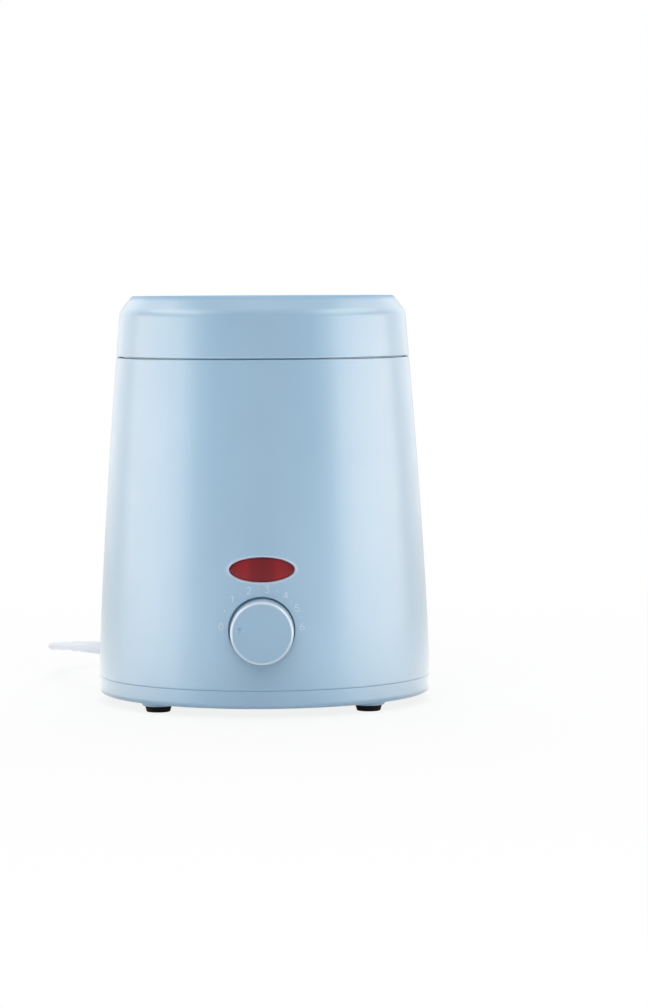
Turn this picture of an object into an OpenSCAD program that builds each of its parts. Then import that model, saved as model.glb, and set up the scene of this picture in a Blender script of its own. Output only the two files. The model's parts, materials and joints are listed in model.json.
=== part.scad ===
// Wax warmer pot: a moulded housing with a heated well, a lift-out pot with a bail
// handle, a lift-off lid, a rotary heat control and a wound mains lead.
// Origin: on the pot's axis, level with the bottom of the feet. +Z up, knob towards -Y.

/* [Housing] */
// Radius of the housing at the base
body_r = 61.3; // [60:0.1:62]
// How much slimmer the housing is at the lid seam
body_taper = 7.2; // [6:0.1:7.5]
// Power of the side's curve, 1 is a plain cone
side_power = 1.3; // [1.2:0.05:1.8]
// Height of the seam between the base cover and the housing
base_seam_z = 9.9; // [9.8:0.1:10.4]
// Height of the seam between the housing and the lid
lid_seam_z = 127; // [126.8:0.1:127.4]
// Wall of the moulded shells
wall = 2.4; // [2:0.1:2.6]
// Overall height
total_h = 149.6; // [149:0.1:151]

/* [Base] */
// Height of the underside above the table
base_z = 3.2; // [3:0.1:3.4]
// Radius of the rounded bottom edge
base_round = 1.8; // [1.6:0.1:3]
// Radius of the circle that the feet stand on
foot_pitch_r = 53.7; // [51:0.1:53.7]
// Widest radius of a rubber foot
foot_r = 4.9; // [4.5:0.1:5]

/* [Control] */
// Height of the knob's axis
knob_z = 31.1; // [30:0.1:32]
// Radius of the knob where it meets the wall
knob_r = 11.35; // [11.2:0.05:12]
// How far the knob's face is from the pot's axis
knob_face_y = 70; // [69:0.5:71]
// Angle of the pointer dimple at rest, clockwise from the top
pointer_deg = -82; // [-90:1:-80]
// Height of the indicator lens
lens_z = 52.7; // [52:0.1:53]
// Half width of the indicator lens
lens_a = 11.45; // [11:0.05:12]
// Half height of the indicator lens
lens_b = 4.25; // [4:0.05:4.6]

/* [Pot] */
// Inner radius of the lift-out pot
pot_in_r = 37.6; // [36:0.1:37.7]
// Wall of the lift-out pot
pot_wall = 1; // [0.8:0.1:1]
// Height of the pot's rim
pot_rim_z = 131.6; // [130:0.1:133]

/* [Mains lead] */
// Width of the flat lead
lead_w = 5; // [4.8:0.1:5]
// Thickness of the flat lead
lead_t = 3; // [2.8:0.1:3]
// Height of the lead where it leaves the housing
lead_z = 14.8; // [14.6:0.1:16]
// Angle of the lead's outlet about the pot's axis
lead_deg = 146; // [144:1:148]
// Length of the moulded strain relief outside the wall
relief_len = 28; // [26:0.1:28.3]

/* [Hidden] */
$fn = 96;

blue = [0.62, 0.76, 0.86];
white = [0.93, 0.93, 0.95];
black = [0.08, 0.08, 0.09];
alloy = [0.80, 0.81, 0.83];
steel = [0.68, 0.69, 0.71];
brass = [0.78, 0.64, 0.34];
mica = [0.72, 0.66, 0.52];
red = [0.50, 0.08, 0.10];

gap = 0.3;                      // air between parts that lift apart
seam_gap = 0.2;                 // hairline between the base cover and the housing
mouth_r = 51.5;                 // radius of the housing's mouth
ledge_z = 114.5;                // top of the ledge inside the mouth
ledge_r = 45.5;                 // inner radius of that ledge
deck_z = 122.5;                 // top of the insulating collar
cup_in_r = pot_in_r + pot_wall + 0.7;
cup_wall = 1.2;
cup_r = cup_in_r + cup_wall;
cup_z = 68.5;                   // underside of the heating cup
flange_r = 45.5;                // rim flange of the heating cup
flange_t = 1.2;
shoulder_z = 143.9;             // where the lid's side turns into its shoulder
top_r = 48;                     // radius of the lid's flat top
neck_r = 41;                    // outside of the pot above the collar
pivot_z = 127;                  // height of the bail's pivots
bail_r = 46.3;                  // centreline radius of the bail
wire_r = 1.2;
pin_r = 1.1;                    // the bail's turned-in ends
bail_tilt = 3.6;                // the folded bail hangs this far below level
recess_r = knob_r + 0.4;
recess_floor_y = 57;
recess_back_y = 54.8;
shaft_r = 3;
bush_r = 5;
floor_z = base_z + 2.4;         // top of the base cover's floor
arm_angles = [90, 210, 330];    // support bracket arms and base screws
arm_pitch_r = 51;
bracket_z = 64;
base_pitch_r = 52;
coil_x = -13;                   // centre of the wound lead
coil_y = 96;
coil_out_r = 29.9;              // centreline radius of the outermost turn
coil_in_r = 20;                 // centreline radius of the innermost turn
coil_z = 0.8;                   // the coil lies on its tie
plug_x = 38;
plug_y = 90;
plug_z = 7;

// Outside radius of the housing at height z
function side_r(z) =
    body_r - body_taper * pow(max(0, z - base_seam_z) / (lid_seam_z - base_seam_z), side_power);

// Points up the side from z0 to z1, moved in by inset
function side_points(z0, z1, inset, n) =
    [for (i = [0:n]) let (z = z0 + (z1 - z0) * i / n) [side_r(z) - inset, z]];

function reversed(list) = [for (i = [len(list) - 1:-1:0]) list[i]];

// Points of an arc about c, from angle a0 to a1
function arc(c, r, a0, a1, n) =
    [for (i = [0:n]) let (a = a0 + (a1 - a0) * i / n) c + r * [cos(a), sin(a)]];

// Smooth curve through hand-set points, n steps a span
function curve_point(a, b, c, d, t) =
    0.5 * (2 * b + (c - a) * t + (2 * a - 5 * b + 4 * c - d) * t * t + (3 * b - a - 3 * c + d) * t * t * t);
function smooth(p, n) =
    let (last = len(p) - 1)
    [for (i = [0:last - 1]) for (k = [0:n - 1])
        curve_point(p[max(i - 1, 0)], p[i], p[i + 1], p[min(i + 2, last)], k / n), p[last]];

function unit(v) = v / norm(v);
function tangent(p, i) = unit(p[min(i + 1, len(p) - 1)] - p[max(i - 1, 0)]);

// Tube through the points p: each ring is the outline shape(i), set across the path
module tube(p, outline, twist0, twist1, up) {
    n = len(outline);
    last = len(p) - 1;
    rings = [for (i = [0:last])
        let (t = tangent(p, i), side = unit(cross(t, up)), top = cross(side, t),
             a = twist0 + (twist1 - twist0) * i / last)
        for (q = outline)
            p[i] + side * (q.x * cos(a) - q.y * sin(a)) + top * (q.x * sin(a) + q.y * cos(a))];
    sides = [for (i = [0:last - 1]) for (k = [0:n - 1])
        [i * n + k, i * n + (k + 1) % n, (i + 1) * n + (k + 1) % n, (i + 1) * n + k]];
    polyhedron(rings, concat(sides, [reversed([for (k = [0:n - 1]) k])],
                             [[for (k = [0:n - 1]) last * n + k]]), convexity = 10);
}

// Section of the flat lead, wide along x
lead_section = [
    for (s = [1, -1]) for (q = [[lead_w / 2, -0.6], [lead_w / 2, 0.6], [lead_w / 2 - 0.9, lead_t / 2],
                                [-lead_w / 2 + 0.9, lead_t / 2]]) s * q
];
wire_section = [for (i = [0:5]) 0.9 * [cos(60 * i), sin(60 * i)]];

// Route of the lead from the strain relief to the coil, laid by hand
lead_route = [
    [-74.1, 49.9, 14.7], [-80.6, 57.1, 14.0], [-82.9, 66.5, 12.9], [-82.9, 81, 11.3],
    [-82.9, 96, 9.8], [-77, 110.1, 8.2], [-62.9, 116, 6.3], [-48.8, 110.1, 4.4], [-42.9, 96, 3.3]
];
// Route of the lead from the coil to the plug
tail_route = [[-13, 66.1, 8.4], [2, 66.1, 7.6], [18, 66.5, 6.4], [32.1, 72, 5.8], [38, 82, 6.6], [38, 90, 7]];

module ring(r_out, r_in, h) {
    difference() {
        cylinder(r = r_out, h = h);
        translate([0, 0, -1]) cylinder(r = r_in, h = h + 2);
    }
}

// Upright slab with an elliptical outline, for the lens and its opening
module lens_slab(grow, y0, y1) {
    a = lens_a + grow;
    b = lens_b + grow;
    translate([0, -y0, lens_z]) rotate([90, 0, 0])
        linear_extrude(y1 - y0) polygon([for (i = [0:47]) [a * cos(i * 7.5), b * sin(i * 7.5)]]);
}

// A cylinder along -Y at the knob's axis, from depth y0 to y1
module knob_cylinder(r, y0, y1) {
    translate([0, -y0, knob_z]) rotate([90, 0, 0]) cylinder(r = r, h = y1 - y0);
}

// Solid of revolution between two heights, inset from the housing's outside
module side_solid(z0, z1, inset, n) {
    rotate_extrude() polygon(concat([[0, z0]], side_points(z0, z1, inset, n), [[0, z1]]));
}

module at_lead() {
    rotate([0, 0, lead_deg]) children();
}

module screw(head_r, head_h, shank_r, shank_h) {
    // pan head down, shank up, cross recess in the head
    difference() {
        union() {
            cylinder(r = head_r, h = head_h, $fn = 48);
            translate([0, 0, head_h]) cylinder(r = shank_r, h = shank_h, $fn = 48);
        }
        for (a = [0, 90]) rotate(a) translate([-head_r * 0.6, -0.3, -1]) cube([head_r * 1.2, 0.6, 1.8]);
    }
}

module lid() {
    seam = lid_seam_z;
    top = total_h;
    outside = concat(
        [[side_r(seam + 0.45) - 0.35, seam + 0.45]],
        side_points(seam + 0.8, shoulder_z - 1.8, 0, 5),
        arc([side_r(shoulder_z - 1.8) - 6, shoulder_z - 2.3], 6, 10, 39.7, 3),
        [[top_r + 0.7, top - 0.5], [top_r + 0.3, top - 0.2], [top_r - 0.5, top - 0.1], [0, top]]
    );
    inside = [[0, top - 2.6], [46.8, top - 2.9], [50, 142.4], [51.4, 130], [mouth_r - gap - 1.6, seam - 0.6],
              [mouth_r - gap - 1.6, seam - 3.4], [mouth_r - gap, seam - 3.4], [mouth_r - gap, seam],
              [side_r(seam) - 1.2, seam], [side_r(seam) - 1.2, seam + 0.45]];
    color(blue) rotate_extrude($fn = 128) polygon(concat(outside, inside));
}

module inner_pot() {
    r = pot_in_r;
    w = pot_wall;
    bottom = cup_z + cup_wall + 0.3;
    profile = concat(
        [[0, bottom]], arc([r + w - 4, bottom + 4], 4, -90, 0, 6),
        [[r + w, deck_z - 1], [r + w + 0.5, deck_z + 0.4], [neck_r, deck_z + 0.4], [neck_r, pot_rim_z]],
        [[neck_r - w, pot_rim_z], [neck_r - w, deck_z + 1.4], [r, deck_z - 0.6]],
        arc([r - 3, bottom + 4.2], 3, 0, -90, 6), [[0, bottom + 1.2]]
    );
    color(alloy) difference() {
        union() {
            rotate_extrude() polygon(profile);
            rotate_extrude() translate([neck_r + 0.6, pot_rim_z]) circle(r = 1.3, $fn = 32);
        }
        for (s = [0, 180]) for (a = [-10.5, 10.5]) rotate([0, 0, s + a])
            translate([neck_r - 5, 0, pivot_z]) rotate([0, 90, 0]) cylinder(r = 0.9, h = 8, $fn = 32);
    }
}

// Outline of one ear, seen from above: two feet on the neck and a raised bridge
module ear_outline() {
    difference() {
        union() {
            intersection() {
                circle(r = neck_r + 0.8);
                polygon([[0, 0], [60, -16], [60, 16]]);
            }
            translate([neck_r - 2, -4.6]) square([4.8, 9.2]);
        }
        translate([neck_r - 3, -3.7]) square([4.9, 7.4]);
        circle(r = neck_r);
    }
}

module pot_ears() {
    // two omega straps on the pot's neck, each with a hole for the bail
    color(steel) for (s = [0, 180]) rotate([0, 0, s]) difference() {
        translate([0, 0, pivot_z - 2.6]) linear_extrude(5.2) ear_outline();
        translate([neck_r, 0, pivot_z]) rotate([0, 90, 0]) cylinder(r = pin_r + 0.06, h = 5, $fn = 48);
        for (a = [-10.5, 10.5]) rotate([0, 0, a]) translate([neck_r - 1, 0, pivot_z])
            rotate([0, 90, 0]) cylinder(r = 0.9, h = 4, $fn = 32);
    }
}

module ear_rivets() {
    color(steel) for (s = [0, 180]) for (a = [-10.5, 10.5]) rotate([0, 0, s + a])
        translate([neck_r - pot_wall - 0.5, 0, pivot_z]) rotate([0, 90, 0]) {
            translate([0, 0, -0.1]) cylinder(r = 1.5, h = 0.5, $fn = 32);
            cylinder(r = 0.9, h = pot_wall + 2, $fn = 32);
            translate([0, 0, pot_wall + 1.35]) cylinder(r1 = 1.6, r2 = 1, h = 0.8, $fn = 32);
        }
}

module bail_handle() {
    color(steel) translate([0, 0, pivot_z]) rotate([bail_tilt, 0, 0]) {
        rotate([0, 0, 180]) rotate_extrude(angle = 180) translate([bail_r, 0]) circle(r = wire_r, $fn = 32);
        for (s = [0, 180]) rotate([0, 0, s]) translate([neck_r + 0.5, 0, 0]) rotate([0, 90, 0])
            cylinder(r = pin_r, h = bail_r - neck_r + 0.3, $fn = 32);
    }
}

module insulating_collar() {
    r_out = mouth_r - 0.1;
    color(white) difference() {
        union() {
            rotate_extrude() polygon([
                [cup_r + 0.4, deck_z - 3.7], [cup_r + 0.4, deck_z - flange_t], [flange_r + 0.1, deck_z - flange_t],
                [flange_r + 0.1, deck_z], [r_out - 0.5, deck_z], [r_out, deck_z - 0.5], [r_out, ledge_z],
                [r_out - 2.8, ledge_z], [r_out - 2.8, deck_z - 3.7]]);
            for (a = arm_angles) rotate([0, 0, a]) translate([47.9, 0, ledge_z])
                cylinder(r = 2.6, h = 5, $fn = 48);
        }
        for (a = arm_angles) rotate([0, 0, a]) translate([47.9, 0, ledge_z - 1])
            cylinder(r = 1.1, h = 6.6, $fn = 48);
    }
}

module collar_screws() {
    color(steel) for (a = arm_angles) rotate([0, 0, a]) translate([47.9, 0, ledge_z - 4.4])
        screw(2.3, 1.9, 1.1, 7.6);
}

module heating_cup() {
    r = cup_r;
    color(alloy) {
        rotate_extrude() polygon(concat(
            [[0, cup_z]], arc([r - 4.5, cup_z + 4.5], 4.5, -90, 0, 6),
            [[r, deck_z - flange_t], [flange_r, deck_z - flange_t], [flange_r, deck_z], [cup_in_r + 0.8, deck_z],
             [cup_in_r, deck_z - 0.8]],
            arc([cup_in_r - 3.3, cup_z + 4.5], 3.3, 0, -90, 6), [[0, cup_z + cup_wall]]
        ));
        translate([0, 0, cup_z - 9.5]) cylinder(r = 2, h = 10, $fn = 48);
    }
}

module heater_band() {
    // mica sandwich round the cup, open at the back, with two terminal tabs
    color(mica) rotate([0, 0, 96]) rotate_extrude(angle = 348) translate([cup_r, 78]) square([2, 26]);
    color(brass) for (a = [104, 76]) rotate([0, 0, a])
        translate([cup_r + 2, -2, 104 - 3]) cube([0.8, 4, 9]);
}

module band_clamp() {
    // steel strap with two ears for the bolt
    r = cup_r + 2;
    color(steel) difference() {
        translate([0, 0, 84]) linear_extrude(12) {
            difference() {
                circle(r = r + 0.6);
                circle(r = r);
                polygon([[0, 0], [6, 50], [-6, 50]]);
            }
            for (s = [-1, 1]) translate([s * 5.6 - 0.5, r - 0.15]) square([1, 8]);
        }
        translate([-10, cup_r + 6, 90]) rotate([0, 90, 0]) cylinder(r = 1.6, h = 20, $fn = 48);
    }
}

module clamp_bolt() {
    color(steel) translate([0, cup_r + 6, 90]) rotate([0, 90, 0]) {
        translate([0, 0, -8.1]) cylinder(r = 2.9, h = 2, $fn = 48);
        translate([0, 0, -6.2]) cylinder(r = 1.5, h = 16, $fn = 48);
        translate([0, 0, 6.1]) difference() {
            cylinder(r = 3.1, h = 2.2, $fn = 6);
            translate([0, 0, -1]) cylinder(r = 1.5, h = 5, $fn = 48);
        }
    }
}

module insulation_sleeve() {
    color(white) rotate([0, 0, 112]) rotate_extrude(angle = 316) translate([cup_r + 3, 76]) square([3.4, 28]);
}

module thermal_fuse() {
    color(alloy) translate([28, -6, cup_z - 2.1]) rotate([-90, 0, 0]) {
        cylinder(r = 2, h = 12, $fn = 48);
        translate([0, 0, -5]) cylinder(r = 0.5, h = 5, $fn = 24);
        translate([0, 0, 12]) cylinder(r = 0.5, h = 5, $fn = 24);
    }
}

// Sheet strap under a rod of radius r that lies along X below the cup
module rod_clip(r, w) {
    t = 0.6;
    color(steel) difference() {
        union() {
            rotate([0, 90, 0]) cylinder(r = r + t, h = w, $fn = 48);
            translate([0, -r - 4, r - t + 0.1]) cube([w, 2 * r + 8, t]);
            translate([0, -r - t, 0]) cube([w, 2 * r + 2 * t, r + 0.1]);
        }
        translate([-1, 0, 0]) rotate([0, 90, 0]) cylinder(r = r + 0.02, h = w + 2, $fn = 48);
        translate([-1, -r - 0.02, 0]) cube([w + 2, 2 * r + 0.04, r + 1]);
        translate([-1, -r - 5, r + 0.1]) cube([w + 2, 2 * r + 10, 3]);
    }
}

module fuse_clip() {
    translate([28, 0, cup_z - 2.1]) rotate([0, 0, 90]) translate([-2, 0, 0]) rod_clip(2, 4);
}

module sensor_bulb() {
    color(brass) translate([-18, -20, cup_z - 2.5]) rotate([0, 90, 0]) cylinder(r = 2.4, h = 38, $fn = 48);
}

module sensor_clip() {
    translate([-4, -20, cup_z - 2.5]) rod_clip(2.4, 8);
}

module stud_spacer() {
    color(white) translate([0, 0, bracket_z + 1.2]) ring(6, 2.2, cup_z - bracket_z - 1.2, $fn = 48);
}

module support_bracket() {
    color(steel) difference() {
        translate([0, 0, bracket_z]) union() {
            cylinder(r = 14, h = 1.2);
            for (a = arm_angles) rotate([0, 0, a]) {
                translate([0, -5, 0]) cube([arm_pitch_r, 10, 1.2]);
                translate([arm_pitch_r, 0, 0]) cylinder(r = 3.5, h = 1.2, $fn = 48);
            }
        }
        translate([0, 0, bracket_z - 1]) cylinder(r = 2.2, h = 4, $fn = 48);
        for (a = arm_angles) rotate([0, 0, a]) translate([arm_pitch_r, 0, bracket_z - 1])
            cylinder(r = 1.7, h = 4, $fn = 48);
        for (a = arm_angles) rotate([0, 0, a]) translate([arm_pitch_r, -6, bracket_z - 1])
            difference() {
                cube([6, 12, 4]);
                translate([0, 6, -1]) cylinder(r = 3.5, h = 6, $fn = 48);
            }
    }
}

module bracket_screws() {
    color(steel) for (a = arm_angles) rotate([0, 0, a]) translate([arm_pitch_r, 0, bracket_z - 2])
        screw(2.8, 2, 1.4, 9);
}

module cup_nut() {
    color(steel) translate([0, 0, bracket_z - 3.2]) difference() {
        cylinder(r = 4.04, h = 3.2, $fn = 6);
        translate([0, 0, -1]) cylinder(r = 2, h = 6, $fn = 48);
    }
}

// Moulded boss on the inside of the wall, joined to it by a rib
module wall_boss(pitch, r, z0, z1) {
    for (a = arm_angles) rotate([0, 0, a]) {
        translate([pitch, 0, z0]) cylinder(r = r, h = z1 - z0, $fn = 48);
        translate([pitch, -1, z0 + 1.5]) cube([body_r - pitch - 0.5, 2, z1 - z0 - 1.5]);
    }
}

module body_shell() {
    z0 = base_seam_z + seam_gap / 2;
    z1 = lid_seam_z;
    outside = concat([[side_r(z0) - 0.2, z0]], side_points(z0 + 0.2, z1 - 0.4, 0, 12), [[side_r(z1) - 0.4, z1]]);
    inside = concat(
        [[mouth_r, z1], [mouth_r, ledge_z], [ledge_r, ledge_z], [ledge_r, ledge_z - 2.5]],
        reversed(side_points(z0, ledge_z - 9.5, wall, 8))
    );
    color(blue) difference() {
        union() {
            rotate_extrude($fn = 128) polygon(concat(outside, inside));
            intersection() {
                union() {
                    knob_cylinder(recess_r + 2, recess_back_y, 64);
                    wall_boss(base_pitch_r, 4, 12, 30);
                    wall_boss(arm_pitch_r, 3.4, bracket_z + 1.2, 84);
                }
                side_solid(z0, 90, 1, 8);
            }
        }
        knob_cylinder(recess_r, recess_floor_y, 70);
        knob_cylinder(bush_r + 0.02, 50, 70);
        lens_slab(0.1, 50, 70);
        at_lead() translate([50, 0, lead_z]) rotate([0, 90, 0]) cylinder(r = 3.7, h = 15, $fn = 48);
        for (a = arm_angles) rotate([0, 0, a]) {
            translate([base_pitch_r, 0, 11]) cylinder(r = 1.4, h = 15, $fn = 48);
            translate([arm_pitch_r, 0, bracket_z]) cylinder(r = 1.4, h = 14, $fn = 48);
            translate([47.9, 0, ledge_z - 4]) cylinder(r = 1.3, h = 8, $fn = 48);
            translate([47.9, 0, ledge_z - 8.5]) cylinder(r = 3, h = 6, $fn = 48);
        }
    }
}

module knob() {
    y0 = 58;
    len = knob_face_y - y0;
    skin = 1.6;
    hub = 5.2;
    color(blue) difference() {
        translate([0, -y0, knob_z]) rotate([90, 0, 0]) difference() {
            rotate_extrude() polygon(concat(
                [[knob_r - skin, 0], [knob_r, 0]], arc([knob_r - 1.2, len - 1.05], 1.05, 0, 90, 6),
                [[0, len]],
                [[0, 3.2], [hub, 3.2], [hub, len - 1.8], [knob_r - skin - 0.1, len - 1.8]]
            ));
            translate([0, 0, -1]) difference() {
                cylinder(r = shaft_r + 0.03, h = len - 1.5, $fn = 64);
                translate([-5, 2.03, -1]) cube([10, 5, 20]);
            }
        }
        translate([7.9 * sin(pointer_deg), -knob_face_y - 0.9, knob_z + 7.9 * cos(pointer_deg)])
            sphere(r = 1.5, $fn = 48);
    }
}

module knob_clip() {
    // split spring ring that squeezes the hub on the shaft
    color(steel) translate([0, -63, knob_z]) rotate([90, 0, 0]) rotate([0, 0, 110])
        rotate_extrude(angle = 320) translate([5.22, 0]) square([0.7, 2]);
}

module thermostat_shaft() {
    color(steel) difference() {
        union() {
            knob_cylinder(shaft_r, 45, 67.4, $fn = 64);
            knob_cylinder(4, 46, 47.6, $fn = 64);
        }
        translate([-5, -68, knob_z + 2]) cube([10, 7, 5]);
    }
}

module thermostat_body() {
    color(white) difference() {
        union() {
            translate([-15, -recess_back_y, knob_z - 13]) cube([30, 1.2, 26]);
            translate([-13, -recess_back_y + 1.2, knob_z - 12]) cube([26, 22, 24]);
            knob_cylinder(bush_r, 53, 60.4);
            for (s = [-1, 1]) translate([s * 7 - 2, -32.4, knob_z - 1]) cube([4, 6, 0.8]);
        }
        knob_cylinder(shaft_r + 0.05, 44, 62, $fn = 64);
        knob_cylinder(4.4, 45.6, 48, $fn = 64);
    }
}

module thermostat_nut() {
    color(steel) difference() {
        translate([0, -recess_floor_y, knob_z]) rotate([90, 0, 0]) cylinder(r = 8, h = 2.4, $fn = 6);
        knob_cylinder(bush_r, 50, 62);
    }
}

module capillary_tube() {
    route = [[8, -31.4, 38], [8, -28, 38], [11, -25, 44], [18, -25, 54], [23, -25, 62],
             [23.5, -22, 65.6], [21.5, -20, 66.1], [20.1, -20, 66]];
    color(brass) tube(smooth(route, 3), wire_section * 0.8, 0, 0, [0, 1, 0]);
}

module indicator_lens() {
    color(red) {
        intersection() {
            lens_slab(0, 50, 66);
            difference() {
                side_solid(44, 62, 0.5, 4);
                side_solid(43, 63, wall + 0.4, 4);
            }
        }
        intersection() {
            lens_slab(1.4, 50, 66);
            difference() {
                side_solid(42, 64, wall + 0.15, 4);
                side_solid(41, 65, wall + 1.3, 4);
            }
        }
    }
}

module neon_lamp() {
    color([0.95, 0.75, 0.6]) translate([-7, -50.5, lens_z]) rotate([0, 90, 0]) {
        cylinder(r = 2.4, h = 12, $fn = 48);
        translate([0, 0, 12]) cylinder(r1 = 2.4, r2 = 0.8, h = 2, $fn = 48);
    }
}

module lamp_holder() {
    color(white) translate([-11, -54, lens_z - 5.5]) difference() {
        cube([22, 8, 11]);
        translate([1.2, -1, 1.2]) cube([19.6, 7.6, 8.6]);
    }
}

module terminal_block() {
    color(white) translate([-11, 28, floor_z]) difference() {
        cube([22, 10, 11]);
        translate([11, 5, -1]) cylinder(r = 1.6, h = 14, $fn = 48);
        for (x = [5.5, 16.5]) {
            translate([x, -1, 5]) rotate([-90, 0, 0]) cylinder(r = 1.9, h = 4, $fn = 32);
            translate([x, 7, 5]) rotate([-90, 0, 0]) cylinder(r = 1.9, h = 4, $fn = 32);
            translate([x, 5, 7]) cylinder(r = 1.6, h = 5, $fn = 32);
        }
    }
}

module terminal_screw() {
    color(steel) translate([0, 33, floor_z + 13]) mirror([0, 0, 1]) screw(2.6, 2, 1.5, 12.4);
}

module cord_clamp() {
    color(white) at_lead() translate([41, -9, lead_z + lead_t / 2]) difference() {
        cube([6, 18, 3]);
        for (y = [2.5, 15.5]) translate([3, y, -1]) cylinder(r = 1.4, h = 5, $fn = 48);
    }
}

module cord_clamp_screws() {
    color(steel) at_lead() for (y = [-6.5, 6.5]) translate([44, y, lead_z + lead_t / 2 + 4.8])
        mirror([0, 0, 1]) screw(2.4, 1.8, 1.3, 9);
}

module inner_cord() {
    color(white) at_lead() translate([38, 0, lead_z]) rotate([90, 0, 90])
        linear_extrude(18) polygon(lead_section);
}

module wire(route, ref) {
    tube(smooth(route, 4), wire_section, 0, 0, ref);
}

module live_wires() {
    // lead to terminal, terminal to thermostat, thermostat to fuse, fuse to heater
    color([0.45, 0.27, 0.16]) {
        wire([[-30.6, 22.1, lead_z], [-27.3, 19.8, lead_z], [-18, 17, 12], [-9, 21, 10.6], [-5.5, 25, 10.6],
              [-5.5, 30, 10.6]], [0, 0, 1]);
        wire([[-5.5, 36, 10.6], [-6, 41, 11], [-16, 42, 15], [-22, 30, 24], [-16, 0, 30],
              [-8, -18, 32], [-7, -26.2, 31]], [0, 0, 1]);
        wire([[7, -26.2, 31], [9, -16, 34], [20, -6, 44], [33, -2, 56], [34.5, -4, 63], [33, -10, 66.5],
              [30, -14, 66.5], [28, -13.5, 66.5], [28, -11.3, 66.4]], [1, 0, 0.3]);
        wire([[28, 11.3, 66.4], [28, 15, 66.3], [24, 26, 66], [15, 42, 68], [0, 45.5, 74], [-10, 47.5, 80],
              [-12.5, 48.3, 90], [-11.6, 46.5, 103], [-10.6, 42.5, 107.5]], [0.3, 1, 0]);
    }
}

module neutral_wires() {
    // lead to terminal, terminal to heater
    color([0.25, 0.42, 0.72]) {
        wire([[-31.9, 20.1, lead_z], [-28.6, 17.9, lead_z], [-14, 12, 11], [3, 18, 10.6], [5.5, 24, 10.6],
              [5.5, 30, 10.6]], [0, 0, 1]);
        wire([[5.5, 36, 10.6], [5.5, 40, 12], [8, 43, 30], [11, 46.5, 52], [12.5, 48.8, 76],
              [12.4, 48.4, 98], [11.4, 45.6, 106], [10.5, 42.2, 107.5]], [1, 0, 0]);
    }
}

module lamp_wires() {
    color([0.75, 0.2, 0.2]) for (s = [-1, 1])
        wire([[s * 3.5, -45.7, lens_z], [s * 4, -41, lens_z - 1], [s * 6, -30, 49], [s * 8, -22, 42],
              [s * 10, -14, 38]], [0, 0, 1]);
}

module base_cover() {
    r = body_r;
    shoulder = base_seam_z - seam_gap / 2;
    tongue_r = r - wall - gap / 2;
    color(blue) difference() {
        union() {
            rotate_extrude($fn = 128) polygon(concat(
                [[0, base_z]], arc([r - base_round, base_z + base_round], base_round, -90, 0, 6),
                [[r, shoulder - 0.2], [r - 0.2, shoulder], [tongue_r, shoulder], [tongue_r, 13],
                 [tongue_r - 1.6, 13], [tongue_r - 1.6, floor_z + 0.4], [tongue_r - 2, floor_z], [0, floor_z]]
            ));
            for (i = [0:3]) rotate([0, 0, 45 + 90 * i]) translate([foot_pitch_r, 0, base_z - 1])
                cylinder(r1 = 5.5, r2 = 6.5, h = 1.3, $fn = 64);
            for (a = arm_angles) rotate([0, 0, a]) translate([base_pitch_r, 0, floor_z - 1])
                cylinder(r = 4, h = 13 - floor_z, $fn = 48);
            at_lead() {
                translate([41, -9, floor_z - 1]) cube([6, 18, lead_z - lead_t / 2 - floor_z + 1]);
                for (y = [-6.5, 6.5]) translate([44, y, floor_z - 1])
                    cylinder(r = 3, h = lead_z + lead_t / 2 - floor_z + 1, $fn = 48);
            }
        }
        for (i = [0:3]) rotate([0, 0, 45 + 90 * i]) translate([foot_pitch_r, 0, 0])
            cylinder(r = 2.4, h = 10, $fn = 48);
        for (a = arm_angles) rotate([0, 0, a]) translate([base_pitch_r, 0, 0]) {
            cylinder(r = 1.7, h = 14, $fn = 48);
            cylinder(r = 3.2, h = floor_z + 2, $fn = 48);
        }
        for (a = [15:30:345]) rotate([0, 0, a]) {
            translate([9, -1.25, 0]) cube([9, 2.5, 10]);
            translate([9, 0, 0]) cylinder(r = 1.25, h = 10, $fn = 32);
            translate([18, 0, 0]) cylinder(r = 1.25, h = 10, $fn = 32);
        }
        at_lead() translate([54, -7, floor_z + 2.5]) cube([tongue_r - 53.9, 14, 8]);
        at_lead() for (y = [-6.5, 6.5]) translate([44, y, floor_z + 2]) cylinder(r = 1.3, h = 20, $fn = 48);
        translate([0, 33, floor_z - 1.6]) cylinder(r = 1.5, h = 10, $fn = 48);
    }
}

module base_screws() {
    color(steel) for (a = arm_angles) rotate([0, 0, a]) translate([base_pitch_r, 0, floor_z])
        screw(3, 2, 1.4, 14);
}

// Push-in rubber foot: a tapered pad, a stem and a barb above the floor
module foot(i) {
    color(black) rotate([0, 0, 45 + 90 * i]) translate([foot_pitch_r, 0, 0]) rotate_extrude($fn = 64)
        polygon([[0, 0], [foot_r - 1, 0], [foot_r - 0.6, 0.4], [foot_r, base_z - 1], [2.4, base_z - 1],
                 [2.4, floor_z], [3.2, floor_z], [2, floor_z + 1.8], [0, floor_z + 1.8]]);
}

module strain_relief() {
    color(white) at_lead() {
        hull() {
            translate([body_r, 0, lead_z]) rotate([0, 90, 0]) cylinder(r = 4.1, h = 0.4, $fn = 32);
            translate([body_r + relief_len - 0.4, 0, lead_z - 0.1]) rotate([90, 0, 90])
                linear_extrude(0.4) offset(r = 0.3, $fn = 32) polygon(lead_section);
        }
        translate([body_r - 4.9, 0, lead_z]) rotate([0, 90, 0]) cylinder(r = 3.65, h = 5, $fn = 48);
        translate([body_r - 5, 0, lead_z]) rotate([0, 90, 0]) cylinder(r = 5.2, h = 1.9, $fn = 48);
    }
}

module cord_lead() {
    color(white) tube(smooth(lead_route, 2), lead_section, 0, 90, [0, 0, 1]);
}

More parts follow.
